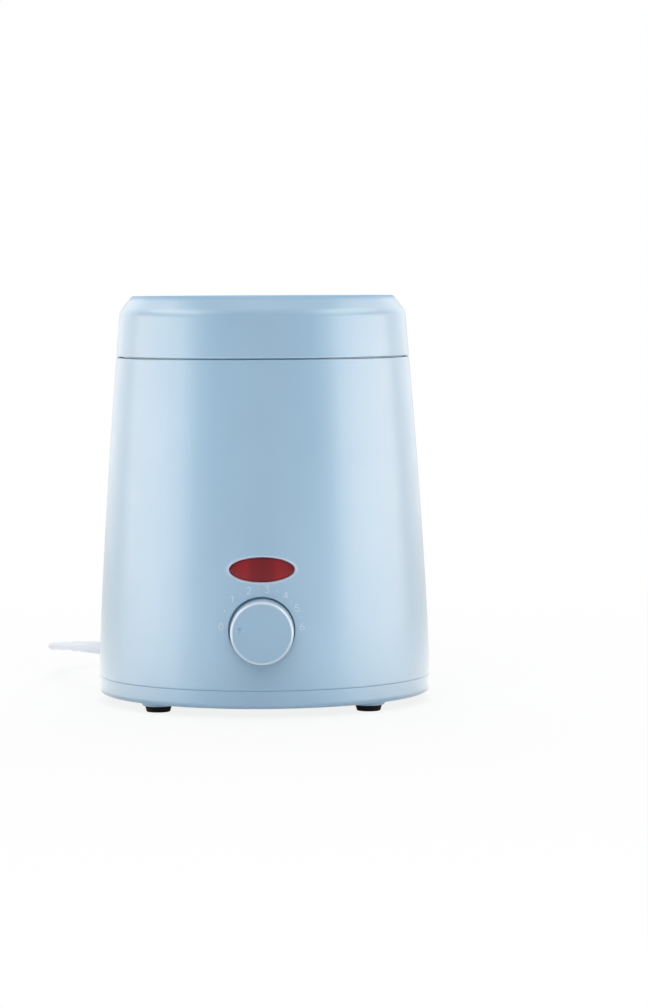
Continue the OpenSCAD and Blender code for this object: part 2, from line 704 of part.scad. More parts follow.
module cord_coil() {
    h = 2 * lead_w + 0.1;
    color(white) translate([coil_x, coil_y, coil_z])
        ring(coil_out_r + lead_t / 2, coil_in_r - lead_t / 2, h, $fn = 64);
}

module cord_tail() {
    color(white) tube(smooth(tail_route, 2), lead_section, 90, 0, [0, 0, 1]);
}

module cord_tie() {
    // soft strap round the wound lead
    r0 = coil_in_r - lead_t / 2 - 0.3;
    r1 = coil_out_r + lead_t / 2 + 0.3;
    t = 0.7;
    h = 2 * lead_w + 0.3;
    color(white) translate([coil_x, coil_y, 0]) rotate([0, 0, 60]) translate([r0 - t, -2.5, 0]) difference() {
        cube([r1 - r0 + 2 * t, 5, h + 2 * t]);
        translate([t, -1, t]) cube([r1 - r0, 7, h]);
    }
}

module plug_body() {
    color(white) translate([plug_x, plug_y, plug_z]) {
        hull() {
            translate([0, 10, 0]) rotate([-90, 0, 0]) linear_extrude(1)
                offset(r = 4, $fn = 32) square([12, 4], center = true);
            translate([0, 22, 0]) rotate([-90, 0, 0]) linear_extrude(24)
                offset(r = 6, $fn = 32) square([23.3, 2], center = true);
        }
        hull() {
            rotate([-90, 0, 0]) linear_extrude(0.5) offset(r = 0.3, $fn = 32) polygon(lead_section);
            translate([0, 10, 0]) rotate([-90, 0, 0]) linear_extrude(1)
                offset(r = 2.4, $fn = 32) square([6, 2], center = true);
        }
    }
}

module plug_pins() {
    for (s = [-1, 1]) translate([plug_x + s * 9.2, plug_y + 46, plug_z]) rotate([-90, 0, 0]) {
        color(white) cylinder(r = 1.8, h = 10, $fn = 32);
        color(steel) translate([0, 0, 10]) cylinder(r = 2, h = 8, $fn = 32);
        color(steel) translate([0, 0, 18]) cylinder(r1 = 2, r2 = 1.2, h = 1, $fn = 32);
    }
}

lid();
inner_pot();
pot_ears();
ear_rivets();
bail_handle();
insulating_collar();
collar_screws();
heating_cup();
heater_band();
band_clamp();
clamp_bolt();
insulation_sleeve();
thermal_fuse();
fuse_clip();
sensor_bulb();
sensor_clip();
stud_spacer();
support_bracket();
bracket_screws();
cup_nut();
body_shell();
knob();
knob_clip();
thermostat_shaft();
thermostat_body();
thermostat_nut();
capillary_tube();
indicator_lens();
neon_lamp();
lamp_holder();
terminal_block();
terminal_screw();
cord_clamp();
cord_clamp_screws();
inner_cord();
live_wires();
neutral_wires();
lamp_wires();
base_cover();
base_screws();
foot(0);  // foot_1
foot(1);  // foot_2
foot(2);  // foot_3
foot(3);  // foot_4
strain_relief();
cord_lead();
cord_coil();
cord_tail();
cord_tie();
plug_body();
plug_pins();
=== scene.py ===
"""Looks of a round wax warmer: moulded blue housing and lid, rotary heat knob, red
indicator lens, aluminium pot with a bail handle, and a wound flat mains lead."""
import json
import math

import bmesh
import bpy
import numpy as np
from mathutils import Matrix, Vector


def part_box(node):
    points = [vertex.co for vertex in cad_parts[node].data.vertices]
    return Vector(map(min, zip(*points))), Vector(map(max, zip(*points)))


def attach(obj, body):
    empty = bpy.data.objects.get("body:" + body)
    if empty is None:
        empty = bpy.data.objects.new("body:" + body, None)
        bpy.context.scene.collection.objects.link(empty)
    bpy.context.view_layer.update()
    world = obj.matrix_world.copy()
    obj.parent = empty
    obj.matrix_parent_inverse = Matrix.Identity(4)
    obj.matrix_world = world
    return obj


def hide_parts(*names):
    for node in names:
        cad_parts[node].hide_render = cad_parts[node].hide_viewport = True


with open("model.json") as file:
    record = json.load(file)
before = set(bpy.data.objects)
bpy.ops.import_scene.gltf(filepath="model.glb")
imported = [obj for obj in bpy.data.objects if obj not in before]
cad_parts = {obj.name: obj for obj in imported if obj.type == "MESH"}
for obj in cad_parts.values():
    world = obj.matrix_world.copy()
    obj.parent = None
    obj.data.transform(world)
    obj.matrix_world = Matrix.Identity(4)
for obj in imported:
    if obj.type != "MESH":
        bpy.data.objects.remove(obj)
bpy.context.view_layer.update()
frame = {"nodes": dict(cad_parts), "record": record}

MM = 0.001
TURN = 2 * math.pi

# ---------------------------------------------------------------- sizes, in millimetres


def span(node):
    """Lowest and highest corners of a CAD node, in millimetres."""
    low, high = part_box(node)
    return np.array(low) / MM, np.array(high) / MM


KNOB_LOW, KNOB_HIGH = span("knob")
LENS_LOW, LENS_HIGH = span("indicator_lens")
POT_LOW, POT_HIGH = span("inner_pot")
CUP_LOW, CUP_HIGH = span("heating_cup")

BODY_R = span("base_cover")[1][0]     # radius of the housing at the base
TAPER = 7.2                           # how much slimmer it is at the lid seam
SIDE_POWER = 1.3                      # above 1, the side curves in faster towards the lid
BASE_SEAM = 9.9                       # seam between base cover and housing
LID_SEAM = span("body_shell")[1][2]   # seam between housing and lid
WALL = 2.4                            # thickness of the housing's wall
TOP = span("lid")[1][2]
MOUTH_R = 51.5                        # inside of the housing's mouth
LEDGE_R = 45.5                        # inner edge of the ledge under the mouth
LEDGE_Z = 114.5
DECK_Z = CUP_HIGH[2]                  # top of the well's flange
SHOULDER_Z = 143.9                    # where the lid's side turns into its shoulder
TOP_R = 48.0                          # radius of the lid's flat top

KNOB_Z = (KNOB_LOW[2] + KNOB_HIGH[2]) / 2
KNOB_R = (KNOB_HIGH[0] - KNOB_LOW[0]) / 2
KNOB_FACE = -KNOB_LOW[1]              # distances of the knob's two ends from the pot's axis
KNOB_BACK = -KNOB_HIGH[1]
RECESS_R = KNOB_R + 0.5
RECESS_OFF = (-0.18, 0.22)            # how far the recess sits off the knob's axis, across and up
RECESS_FLOOR = 57.0                   # distances of the recess's floor and its back from the pot's axis
RECESS_BACK = 54.8
BUSH_R = 5.02                         # hole for the thermostat's bush
POINTER = math.radians(-82)           # the knob's dimple, turned from the top, negative to the left
LENS_A = 11.45                        # half the width and half the height of the lens
LENS_B = 4.25
LENS_Z = (LENS_LOW[2] + LENS_HIGH[2]) / 2

LEAD_W = 5.0                          # the flat lead's width and thickness
LEAD_T = 3.0
LEAD_Z = 14.8                         # height at which it leaves the wall
LEAD_ANGLE = math.radians(146)        # and the angle about the pot's axis
RELIEF = 28.0                         # length of the strain relief outside the wall

COLUMNS = 240                         # columns round every turned surface
ROWS = 79                             # rows up the housing wall


def side_radius(z):
    """Outside radius at height z: the base radius less the taper times the height share to a power."""
    share = np.clip(z - BASE_SEAM, 0, None) / (LID_SEAM - BASE_SEAM)
    return BODY_R - TAPER * share ** SIDE_POWER


# ---------------------------------------------------------------- camera

VIEW_SCALE = 0.37                     # millimetres a pixel at the pot's axis
VIEW_DISTANCE = 1298.0
VIEW_HEIGHT = 155.0
VIEW_SIDE = 18.0
FOCAL_PX = VIEW_DISTANCE / VIEW_SCALE
AXIS_OFFSET_PX = 60.4                 # the pot stands left of the frame's middle
HORIZON_PX = 223.6                    # the eye line is above the frame's middle
FRAME_LONG_PX = 1008.0
VIEW_ROLL = math.radians(-0.3)


def make_camera():
    """Camera in front of the pot, turned, pitched and rolled to place the pot in the frame."""
    data = bpy.data.cameras.new("view")
    data.sensor_fit = "AUTO"
    data.sensor_width = 36.0
    data.lens = FOCAL_PX * data.sensor_width / FRAME_LONG_PX
    data.clip_end = 20
    camera = bpy.data.objects.new("view", data)
    to_axis = math.atan2(VIEW_SIDE, VIEW_DISTANCE)
    heading = to_axis - math.atan2(AXIS_OFFSET_PX, FOCAL_PX)
    pitch = math.pi / 2 - math.atan2(HORIZON_PX, FOCAL_PX)
    aimed = Matrix.Rotation(heading, 4, "Z") @ Matrix.Rotation(pitch, 4, "X")
    place = Matrix.Translation((VIEW_SIDE * MM, -VIEW_DISTANCE * MM, VIEW_HEIGHT * MM))
    camera.matrix_world = place @ (aimed @ Matrix.Rotation(VIEW_ROLL, 4, "Z"))
    bpy.context.scene.collection.objects.link(camera)
    bpy.context.scene.camera = camera


make_camera()

# ---------------------------------------------------------------- mesh helpers


def quads_of(rows, cols, around, along, first):
    """Corner numbers of the quads of a grid, closed round the columns or the rows if asked."""
    ids = first + np.arange(rows * cols).reshape(rows, cols)
    if around:
        ids = np.hstack([ids, ids[:, :1]])
    if along:
        ids = np.vstack([ids, ids[:1]])
    return np.stack([ids[:-1, :-1], ids[:-1, 1:], ids[1:, 1:], ids[1:, :-1]], -1).reshape(-1, 4)


def piece(name, grids, sharp=40.0, keep=None, outward=True):
    """One object from grids of points, in millimetres. Each grid is (points, around, along) or points alone;
    keep gives a mask of the quads that stay. Meeting points are merged, so seams and poles close, and
    edges sharper than the angle stay crisp."""
    points, faces, first = [], [], 0
    for index, item in enumerate(grids):
        grid, around, along = item if isinstance(item, tuple) else (item, True, False)
        rows, cols = grid.shape[:2]
        quads = quads_of(rows, cols, around, along, first)
        if keep is not None and index in keep:
            quads = quads[keep[index].ravel()]
        points.append(grid.reshape(-1, 3) * MM)
        faces.append(quads)
        first += rows * cols
    mesh = bpy.data.meshes.new(name)
    mesh.from_pydata(np.vstack(points), [], np.vstack(faces).tolist())
    work = bmesh.new()
    work.from_mesh(mesh)
    bmesh.ops.remove_doubles(work, verts=work.verts, dist=2e-6)
    bmesh.ops.dissolve_degenerate(work, edges=work.edges, dist=1e-7)
    if outward:
        bmesh.ops.recalc_face_normals(work, faces=work.faces)
    limit = math.radians(sharp)
    for edge in work.edges:
        edge.smooth = len(edge.link_faces) == 2 and edge.calc_face_angle(0) < limit
    for face in work.faces:
        face.smooth = True
    work.to_mesh(mesh)
    work.free()
    obj = bpy.data.objects.new(name, mesh)
    bpy.context.scene.collection.objects.link(obj)
    return obj


def filleted(corners, closed=False, steps=6):
    """Outline through corners (x, y, radius), each rounded by an arc that touches both of its sides."""
    pts = np.array([c[:2] for c in corners], float)
    out = []
    count = len(pts)
    for i, corner in enumerate(corners):
        radius = corner[2] if len(corner) > 2 else 0.0
        inner = closed or 0 < i < count - 1
        if radius <= 0 or not inner:
            out.append(pts[i][None])
            continue
        a = pts[i - 1] - pts[i]
        b = pts[(i + 1) % count] - pts[i]
        a, b = a / np.linalg.norm(a), b / np.linalg.norm(b)
        half = math.acos(float(np.clip(a @ b, -1, 1))) / 2
        reach = radius / math.tan(half)
        middle = (a + b) / np.linalg.norm(a + b)
        centre = pts[i] + middle * radius / math.sin(half)
        start = pts[i] + a * reach - centre
        stop = pts[i] + b * reach - centre
        arc = math.pi - 2 * half
        if start[0] * stop[1] - start[1] * stop[0] < 0:
            arc = -arc
        t = np.linspace(0, arc, steps + 1)
        out.append(centre + np.stack([start[0] * np.cos(t) - start[1] * np.sin(t),
                                      start[0] * np.sin(t) + start[1] * np.cos(t)], -1))
    return np.vstack(out)


def turned(profile, steps=COLUMNS, start=0.0):
    """Surface of revolution about +Z of a profile of (radius, height) points."""
    angle = start + np.linspace(0, TURN, steps, endpoint=False)
    r, z = profile[:, :1], profile[:, 1:]
    return np.stack([r * np.cos(angle), r * np.sin(angle), z + 0 * angle], -1)


def moved(points, place=(0, 0, 0), turn=None):
    """Points turned by a 3x3 matrix and then moved."""
    if turn is not None:
        points = points @ np.array(turn).T
    return points + np.array(place, float)


TO_FRONT = np.array([[1, 0, 0], [0, 0, -1], [0, 1, 0]], float)   # +Z of a turned piece to -Y
RADIAL = np.array([[0, 0, 1], [0, 1, 0], [-1, 0, 0]], float)     # +Z of a turned piece to +X


def spun(angle):
    """Turn about +Z."""
    c, s = math.cos(angle), math.sin(angle)
    return np.array([[c, -s, 0], [s, c, 0], [0, 0, 1]])


def curve_through(points, steps):
    """Catmull-Rom curve through given points, steps to a span, as an array."""
    p = np.vstack([points[0], points, points[-1]])
    t = np.arange(steps)[:, None] / steps
    a, b, c, d = (p[i:len(p) - 3 + i][:, None] for i in range(4))
    curve = 0.5 * (2 * b + (c - a) * t + (2 * a - 5 * b + 4 * c - d) * t ** 2
                   + (3 * b - a - 3 * c + d) * t ** 3)
    return np.vstack([curve.reshape(-1, p.shape[1]), p[-1]])


def sweep(path, outline, twist=None, scale=None):
    """Outline of (across, upward) points carried along a path; twist turns it about the path, in radians."""
    tangent = np.gradient(path, axis=0)
    tangent /= np.linalg.norm(tangent, axis=1)[:, None]
    side = np.cross(tangent, [0.0, 0.0, 1.0])
    side /= np.linalg.norm(side, axis=1)[:, None]
    top = np.cross(side, tangent)
    twist = np.zeros(len(path)) if twist is None else twist
    scale = np.ones(len(path)) if scale is None else scale
    c, s = np.cos(twist)[:, None], np.sin(twist)[:, None]
    x, y = outline[:, 0] * scale[:, None], outline[:, 1] * scale[:, None]
    across, upward = x * c - y * s, x * s + y * c
    return path[:, None] + side[:, None] * across[..., None] + top[:, None] * upward[..., None]


def capped(grid):
    """The grid with its two ends closed to a point."""
    ends = [np.repeat(g.mean(0)[None, None], grid.shape[1], 1) for g in (grid[0], grid[-1])]
    return np.concatenate([ends[0], grid, ends[1]])


def circle(radius, count):
    """Points of a circle about the origin."""
    t = np.arange(count) * TURN / count
    return radius * np.stack([np.cos(t), np.sin(t)], -1)


def stadium(width, height, count=8):
    """Round-ended outline of a flat lead."""
    t = np.linspace(-math.pi / 2, math.pi / 2, count)
    right = np.stack([(width - height) / 2 + height / 2 * np.cos(t), height / 2 * np.sin(t)], -1)
    return np.vstack([right, -right])


# ---------------------------------------------------------------- the lead

COIL = (-13.0, 96.0)                  # middle of the wound lead on the table
COIL_OUT = 29.9                       # radius of its outermost turn
COIL_FIRST_IN, COIL_IN = 20.6, 20.0   # radii of the innermost turns of the lower and the upper layer
COIL_LOW, COIL_HIGH = 3.3, 8.4        # heights of the two layers' centrelines
PLUG = np.array([38.0, 90.0, 7.0])    # where the lead enters the plug
PIN_PITCH = 18.4                      # distance between the plug's two pins

out_dir = np.array([math.cos(LEAD_ANGLE), math.sin(LEAD_ANGLE), 0])
exit_point = out_dir * side_radius(LEAD_Z) + [0, 0, LEAD_Z]
LEAD_ROUTE = [
    (-74.1, 49.9, 14.7), (-80.6, 57.1, 14.0), (-82.9, 66.5, 12.9), (-82.9, 81, 11.3),
    (-82.9, 96, 9.8), (-77, 110.1, 8.2), (-62.9, 116, 6.3), (-48.8, 110.1, 4.4), (-42.9, 96, 3.3),
]
TAIL_ROUTE = [
    (-13, 66.1, 8.4), (2, 66.1, 7.6), (18, 66.5, 6.4), (32.1, 72, 5.8), (38, 82, 6.6), (38, 90, 7),
]


def coil_route():
    """Turns of the coil, every 30 degrees: in along the table for three turns, up a layer, out for three."""
    wound, climb = 1080, 90
    top = wound + climb
    turn = np.arange(30, top + wound, 30.0)
    inward, rise, outward = turn / wound, (turn - wound) / climb, (turn - top) / wound
    radius = np.where(turn <= wound, COIL_OUT + (COIL_FIRST_IN - COIL_OUT) * inward,
                      np.where(turn <= top, COIL_FIRST_IN + (COIL_IN - COIL_FIRST_IN) * rise,
                               COIL_IN + (COIL_OUT - COIL_IN) * outward))
    lift = np.clip(rise, 0, 1)
    height = COIL_LOW + (COIL_HIGH - COIL_LOW) * lift * lift * (3 - 2 * lift)
    angle = np.radians(180 + turn)
    return np.stack([COIL[0] + radius * np.cos(angle), COIL[1] + radius * np.sin(angle), height], -1)


def make_lead():
    """Flat lead from the wall to the plug: it leaves flat, turns on edge to be wound, and ends flat."""
    sag = [[0, 0, 0], [0, 0, 0.03], [0, 0, 0.06]]
    inner = exit_point + out_dir * np.array([[0.0], [9.0], [19.0]]) - sag
    coil = coil_route()
    knots = np.vstack([inner, LEAD_ROUTE, coil, TAIL_ROUTE])
    onto_edge, onto_flat = [0.15, 0.62, 0.95], [1, 0.92, 0.6, 0.25, 0.03, 0]
    flat = len(inner) + len(LEAD_ROUTE) - len(onto_edge)
    on_edge = np.concatenate([np.zeros(flat), onto_edge, np.ones(len(coil)), onto_flat])
    route = curve_through(np.column_stack([knots, on_edge]), 8)
    path, twist = route[:, :3], route[:, 3] * math.pi / 2
    lead = piece("mains_lead", [capped(sweep(path, stadium(LEAD_W, LEAD_T), twist))], sharp=60)
    steps = np.linalg.norm(np.diff(path, axis=0), axis=1)
    return lead, path, float(steps.sum())


lead, lead_path, lead_length = make_lead()


def make_relief():
    """Strain relief: a round root at the wall that narrows and flattens into the lead's own section, and the
    grooved neck that holds it in the wall."""
    t = np.linspace(0, 1, 30)
    ease = 1 - (1 - t) ** 1.6
    root, tip = circle(4.05, 32), stadium(LEAD_W + 0.7, LEAD_T + 0.7, 16)
    tip = np.roll(tip, -8, 0)
    outline = root + (tip - root) * ease[:, None, None]
    along = 0.35 + t * (RELIEF - 0.4)
    side = np.array([-out_dir[1], out_dir[0], 0])
    drop = -0.1 * t ** 1.5
    up = np.array([0, 0, 1.0])
    body = (exit_point + out_dir * along[:, None, None] + side * outline[..., :1]
            + up * (outline[..., 1:] + drop[:, None, None]))
    flange = exit_point + out_dir * 0.1 + side * root[:, :1] + up * root[:, 1:]
    body = np.concatenate([flange[None], body])
    collar = filleted([(0, -4.8), (5.1, -4.8, 0.3), (5.1, -3, 0.3), (3.6, -3), (3.6, 0.3), (0, 0.3)])
    neck = moved(turned(collar, 48), exit_point, spun(LEAD_ANGLE) @ RADIAL)
    return piece("cord_relief", [capped(body), neck])


relief = make_relief()


PLUG_STEPS = 64


def plug_outline(width, height, power):
    """Rounded-box outline: a superellipse."""
    t = np.arange(PLUG_STEPS) * TURN / PLUG_STEPS
    c, s = np.cos(t), np.sin(t)
    return np.stack([width / 2 * np.sign(c) * np.abs(c) ** (2 / power),
                     height / 2 * np.sign(s) * np.abs(s) ** (2 / power)], -1)


def make_plug():
    """Flat two-pin plug: sections along its length, waisted grip, with a moulded neck for the lead.
    A station is (distance from the lead's end, width, height, power of the outline)."""
    stations = [
        (0, 5.6, 3.6, 2.4), (1.5, 6.2, 4.4, 2.4), (7.5, 8.2, 5.8, 2.6), (10, 11.0, 8.0, 3.0),
        (13, 17.5, 11.0, 3.6), (17, 24.5, 12.6, 4.0), (21, 30.0, 13.4, 4.4), (26, 34.2, 13.9, 5.0),
        (32, 35.1, 14.0, 5.5), (40, 35.2, 14.0, 5.5), (45, 35.2, 14.0, 5.5), (45.7, 34.7, 13.5, 5.5),
        (46, 33.6, 12.5, 5.0),
    ]
    knots = curve_through(np.array(stations, float), 5)
    rings = [np.insert(plug_outline(width, height, power), 1, along, axis=1)
             for along, width, height, power in knots]
    return piece("plug", [capped(moved(np.array(rings), PLUG))], sharp=50)


plug = make_plug()


def make_pins():
    """Two 4 mm pins with sleeved roots."""
    to_back = np.array([[1, 0, 0], [0, 0, 1], [0, -1, 0]], float)
    face = 46                         # the plug's flat end, from where the lead enters it
    sleeve = turned(filleted([(0, -0.5), (1.75, -0.5), (1.75, 10, 0.1), (0, 10)]), 40)
    tip = turned(filleted([(0, 9.9), (1.98, 9.9), (1.98, 18.9, 0.9), (0, 18.95)]), 40)
    places = [PLUG + [side * PIN_PITCH / 2, face, 0] for side in (-1, 1)]
    return (piece("pin_sleeves", [moved(sleeve, place, to_back) for place in places]),
            piece("pin_tips", [moved(tip, place, to_back) for place in places]))


sleeves, tips = make_pins()


def make_tie():
    """Soft strap round the wound lead, as a closed band."""
    inner, outer = COIL_IN - LEAD_T / 2 - 0.2, COIL_OUT + LEAD_T / 2 + 0.2
    middle, half = (inner + outer) / 2, (outer - inner) / 2 + 0.35
    low, high = 0.36, 11.35
    wide, thick = 2.3, 0.28           # half the strap's width and half its thickness
    loop = filleted([(-half, low, 1.2), (half, low, 1.2), (half, high, 1.6), (-half, high, 1.6)],
                    closed=True)
    loop = np.vstack([loop, loop[:1]])
    path = np.column_stack([middle + loop[:, 0], 0 * loop[:, 0], loop[:, 1]])
    normal = np.gradient(path, axis=0)
    normal = np.stack([normal[:, 2], 0 * normal[:, 0], -normal[:, 0]], -1)
    normal /= np.linalg.norm(normal, axis=1)[:, None]
    corners = [(-wide, -thick), (wide, -thick), (wide, thick), (-wide, thick)]
    section = filleted([(*corner, 0.2) for corner in corners], closed=True)
    band = (path[:, None] + np.array([0, 1.0, 0]) * section[:, :1]
            + normal[:, None] * section[:, 1:][None])
    return piece("coil_tie", [moved(band, (COIL[0], COIL[1], 0), spun(math.radians(60)))], sharp=50)


tie = make_tie()

# ---------------------------------------------------------------- housing

START = -math.pi / 2                  # the wall's first column faces the front
INNER_TOP = 104.5                     # where the plain inner skin ends, below the ledge
heights = np.linspace(BASE_SEAM + 0.4, LID_SEAM - 0.5, ROWS)
inner_rows = int(np.argmin(abs(heights - INNER_TOP))) + 1


class Window:
    """A rectangle of the housing wall, cut from its grid of quads and filled by rings round one opening, an
    ellipse of half sizes a and b. It is half_columns wide to each side and reaches from low to high.
    Places in it are (across, up) from the opening's centre, in a frame turned to the azimuth."""

    def __init__(self, azimuth, height, a, b, half_columns, low, high):
        self.azimuth, self.height, self.a, self.b = azimuth, height, a, b
        middle = round((azimuth - START) / TURN * COLUMNS)
        self.columns = np.arange(middle - half_columns, middle + half_columns + 1)
        self.rows = np.arange(np.argmin(abs(heights - low)), np.argmin(abs(heights - high)) + 1)

    def rim(self, inset):
        """The rectangle's edge as (across, up) points, on the skin that lies inset from the outside."""
        cols, rows = self.columns, self.rows
        col = np.concatenate([cols[:-1], np.full(len(rows) - 1, cols[-1]), cols[:0:-1],
                              np.full(len(rows) - 1, cols[0])])
        row = np.concatenate([np.full(len(cols) - 1, rows[0]), rows[:-1],
                              np.full(len(cols) - 1, rows[-1]), rows[:0:-1]])
        z = heights[row]
        angle = START + col * TURN / COLUMNS - self.azimuth
        return np.stack([(side_radius(z) - inset) * np.sin(angle), z - self.height], -1)

    def outline(self, grow):
        """The opening's ellipse, grown, with its points in step with the rim's."""
        rim = self.rim(0)
        t = np.arctan2(rim[:, 1] * self.a, rim[:, 0] * self.b)
        return np.stack([(self.a + grow) * np.cos(t), (self.b + grow) * np.sin(t)], -1)

    def skin(self, uv, inset):
        """Distance from the axis plane to the skin at (across, up) places."""
        radius = side_radius(uv[..., 1] + self.height) - inset
        return np.sqrt(radius ** 2 - uv[..., 0] ** 2)

    def place(self, uv, depth):
        """Points at (across, up) places and a distance from the axis plane."""
        c, s = math.cos(self.azimuth), math.sin(self.azimuth)
        u, v = uv[..., 0], uv[..., 1]
        return np.stack([depth * c - u * s, depth * s + u * c, v + self.height], -1)

    def skin_ring(self, uv, inset=0.0, sink=0.0):
        """Points at (across, up) places on a skin, sunk below it."""
        return self.place(uv, self.skin(uv, inset) - sink)

    def spread(self, inset, outline):
        """Seven rings that blend from the rim to the outline, on one skin."""
        share = np.linspace(0, 1, 7)[:, None, None] ** 0.8
        rim = self.rim(inset)
        return self.skin_ring(rim + (outline - rim) * share, inset)

    def mask(self):
        """Quads of the wall's grid that stay."""
        stay = np.ones((ROWS - 1, COLUMNS), bool)
        stay[self.rows[0]:self.rows[-1], self.columns[:-1, None].T % COLUMNS] = False
        return stay


def wall_skin(rows, inset):
    """The wall as a grid over angle and height: radius is the side curve less the inset."""
    z = heights[:rows]
    angle = START + np.arange(COLUMNS) * TURN / COLUMNS
    r = (side_radius(z) - inset)[:, None]
    return np.stack([r * np.cos(angle), r * np.sin(angle), z[:, None] + 0 * angle], -1)


def quarter(radius, steps=5):
    """Steps of a quarter-round edge: (how far out of the opening, how far below the skin)."""
    t = np.linspace(0, math.pi / 2, steps)
    return radius * (1 - np.sin(t)), radius * (1 - np.cos(t))


def knob_rings(win):
    """Recess for the knob: rounded edge, wall, floor, bush hole, and the boss behind the floor."""
    grow, sink = quarter(0.35)
    edge = [win.skin_ring(win.outline(g) + RECESS_OFF, sink=s) for g, s in zip(grow, sink)]
    corner = [(0.0, RECESS_FLOOR + 0.5), (-0.15, RECESS_FLOOR + 0.12), (-0.5, RECESS_FLOOR)]
    wall = [win.place(win.outline(g) + RECESS_OFF, d) for g, d in corner]
    boss = 2.0                        # thickness of the boss's wall round the recess
    hole = [(BUSH_R - RECESS_R, RECESS_FLOOR), (BUSH_R - RECESS_R, RECESS_BACK), (boss, RECESS_BACK)]
    inside = wall + [win.place(win.outline(g), d) for g, d in hole]
    return np.concatenate([win.spread(0, win.outline(grow[0]) + RECESS_OFF), edge, inside,
                           win.spread(WALL, win.outline(boss))[::-1]])


def lens_rings(win):
    """Opening for the lens: rounded lip, short bevel, and the wall's thickness."""
    grow, sink = quarter(0.25, 4)
    lip, hole = 0.35, 0.1             # how much wider than the lens the opening is, at the lip and behind it
    edge = [win.skin_ring(win.outline(lip + g), sink=s) for g, s in zip(grow, sink)]
    bevel = [win.skin_ring(win.outline(hole), sink=0.75)]
    return np.concatenate([win.spread(0, win.outline(lip + grow[0])), edge, bevel,
                           win.spread(WALL, win.outline(hole))[::-1]])


def cord_rings(win):
    """Hole for the strain relief."""
    grow, sink = quarter(0.3, 4)
    edge = [win.skin_ring(win.outline(g), sink=s) for g, s in zip(grow, sink)]
    return np.concatenate([win.spread(0, win.outline(grow[0])), edge,
                           win.spread(WALL, win.outline(0.0))[::-1]])


CORD_HOLE_R = 3.7
WINDOW_LINE = 46.1                    # height at which the knob's window meets the lens's
knob_window = Window(START, KNOB_Z, RECESS_R, RECESS_R, 13, 13.5, WINDOW_LINE)
lens_window = Window(START, LENS_Z, LENS_A, LENS_B, 13, WINDOW_LINE, 60.5)
cord_window = Window(LEAD_ANGLE, LEAD_Z, CORD_HOLE_R, CORD_HOLE_R, 4, 10.6, 21.5)

SCREW_ANGLES = np.radians([90, 210, 330])
BOSSES = ((52, 4, 12, 30), (51, 3.4, 65.2, 84))   # distance from the axis, radius, lowest and highest point
BOSS_HOLE_R = 1.4


def make_shell():
    """Housing: outer and inner skins with three windows, a turned mouth and ledge, and moulded bosses."""
    stay = knob_window.mask() & lens_window.mask() & cord_window.mask()
    outer, inner = wall_skin(ROWS, 0), wall_skin(inner_rows, WALL)
    top_z = heights[inner_rows - 1]
    lip = filleted([
        (side_radius(heights[-1]), heights[-1]), (side_radius(LID_SEAM), LID_SEAM, 0.38),
        (MOUTH_R, LID_SEAM, 0.3), (MOUTH_R, LEDGE_Z), (LEDGE_R, LEDGE_Z, 0.3),
        (LEDGE_R, LEDGE_Z - 2.5, 0.3), (side_radius(top_z) - WALL, top_z)])
    low, foot_r, foot_z = heights[0], side_radius(heights[0]), BASE_SEAM - 0.05
    foot = filleted([(foot_r, low), (foot_r, foot_z, 0.08), (foot_r - WALL, foot_z), (foot_r - WALL, low)])
    grids = [outer, inner, turned(lip, COLUMNS, START), turned(foot, COLUMNS, START),
             knob_rings(knob_window), lens_rings(lens_window), cord_rings(cord_window)]
    for angle in SCREW_ANGLES:
        for pitch, r, low, high in BOSSES:
            blind = high - 2          # where the screw's hole ends
            boss = filleted([(BOSS_HOLE_R, blind), (BOSS_HOLE_R, low), (r, low, 0.3), (r, high, 0.3),
                             (0, high), (0, blind), (BOSS_HOLE_R, blind)])
            grids.append(moved(turned(boss, 40), (pitch, 0, 0)) @ spun(angle).T)
    return piece("housing_shell", grids, sharp=35, keep={0: stay, 1: stay[:inner_rows - 1]})


shell = make_shell()


def make_lid():
    """Lid: side in line with the housing, a sloping shoulder, a nearly flat top, and a locating skirt."""
    seam, edge = LID_SEAM, LID_SEAM + 0.45       # the joint's height and the lid's lower edge
    groove_r = side_radius(seam) - 2.3           # bottom of the groove between lid and housing
    z = np.linspace(seam + 0.9, SHOULDER_Z - 2.2, 12)
    side = np.column_stack([side_radius(z), z])
    outside = filleted([(groove_r, edge), (side_radius(edge) - 0.02, edge, 0.38), tuple(side[0])])
    flat_r, crowning = 40, 0.1                   # the top rises by the crowning inside this radius
    shoulder = filleted([tuple(side[-1]), (52.72, SHOULDER_Z, 6), (TOP_R + 0.3, TOP - crowning, 1.6),
                         (flat_r, TOP - crowning, 0)], steps=12)
    r = np.linspace(flat_r, 0, 14)
    crown = np.column_stack([r, TOP - crowning * (r / flat_r) ** 2])
    skirt_in, skirt_out, skirt_z = MOUTH_R - 1.9, MOUTH_R - 0.3, seam - 3.4
    ceiling = filleted([
        (0, TOP - 2.6), (46.8, TOP - 2.9, 1.5), (50.3, 142.6, 2), (51.6, 130, 4), (skirt_in, seam - 0.6, 1),
        (skirt_in, skirt_z, 0.3), (skirt_out, skirt_z, 0.5), (skirt_out, seam), (groove_r, seam),
        (groove_r, edge)])
    profile = np.vstack([outside, side[1:-1], shoulder[:-1], crown, ceiling])
    return piece("lid_cap", [turned(profile)], sharp=35)


lid = make_lid()


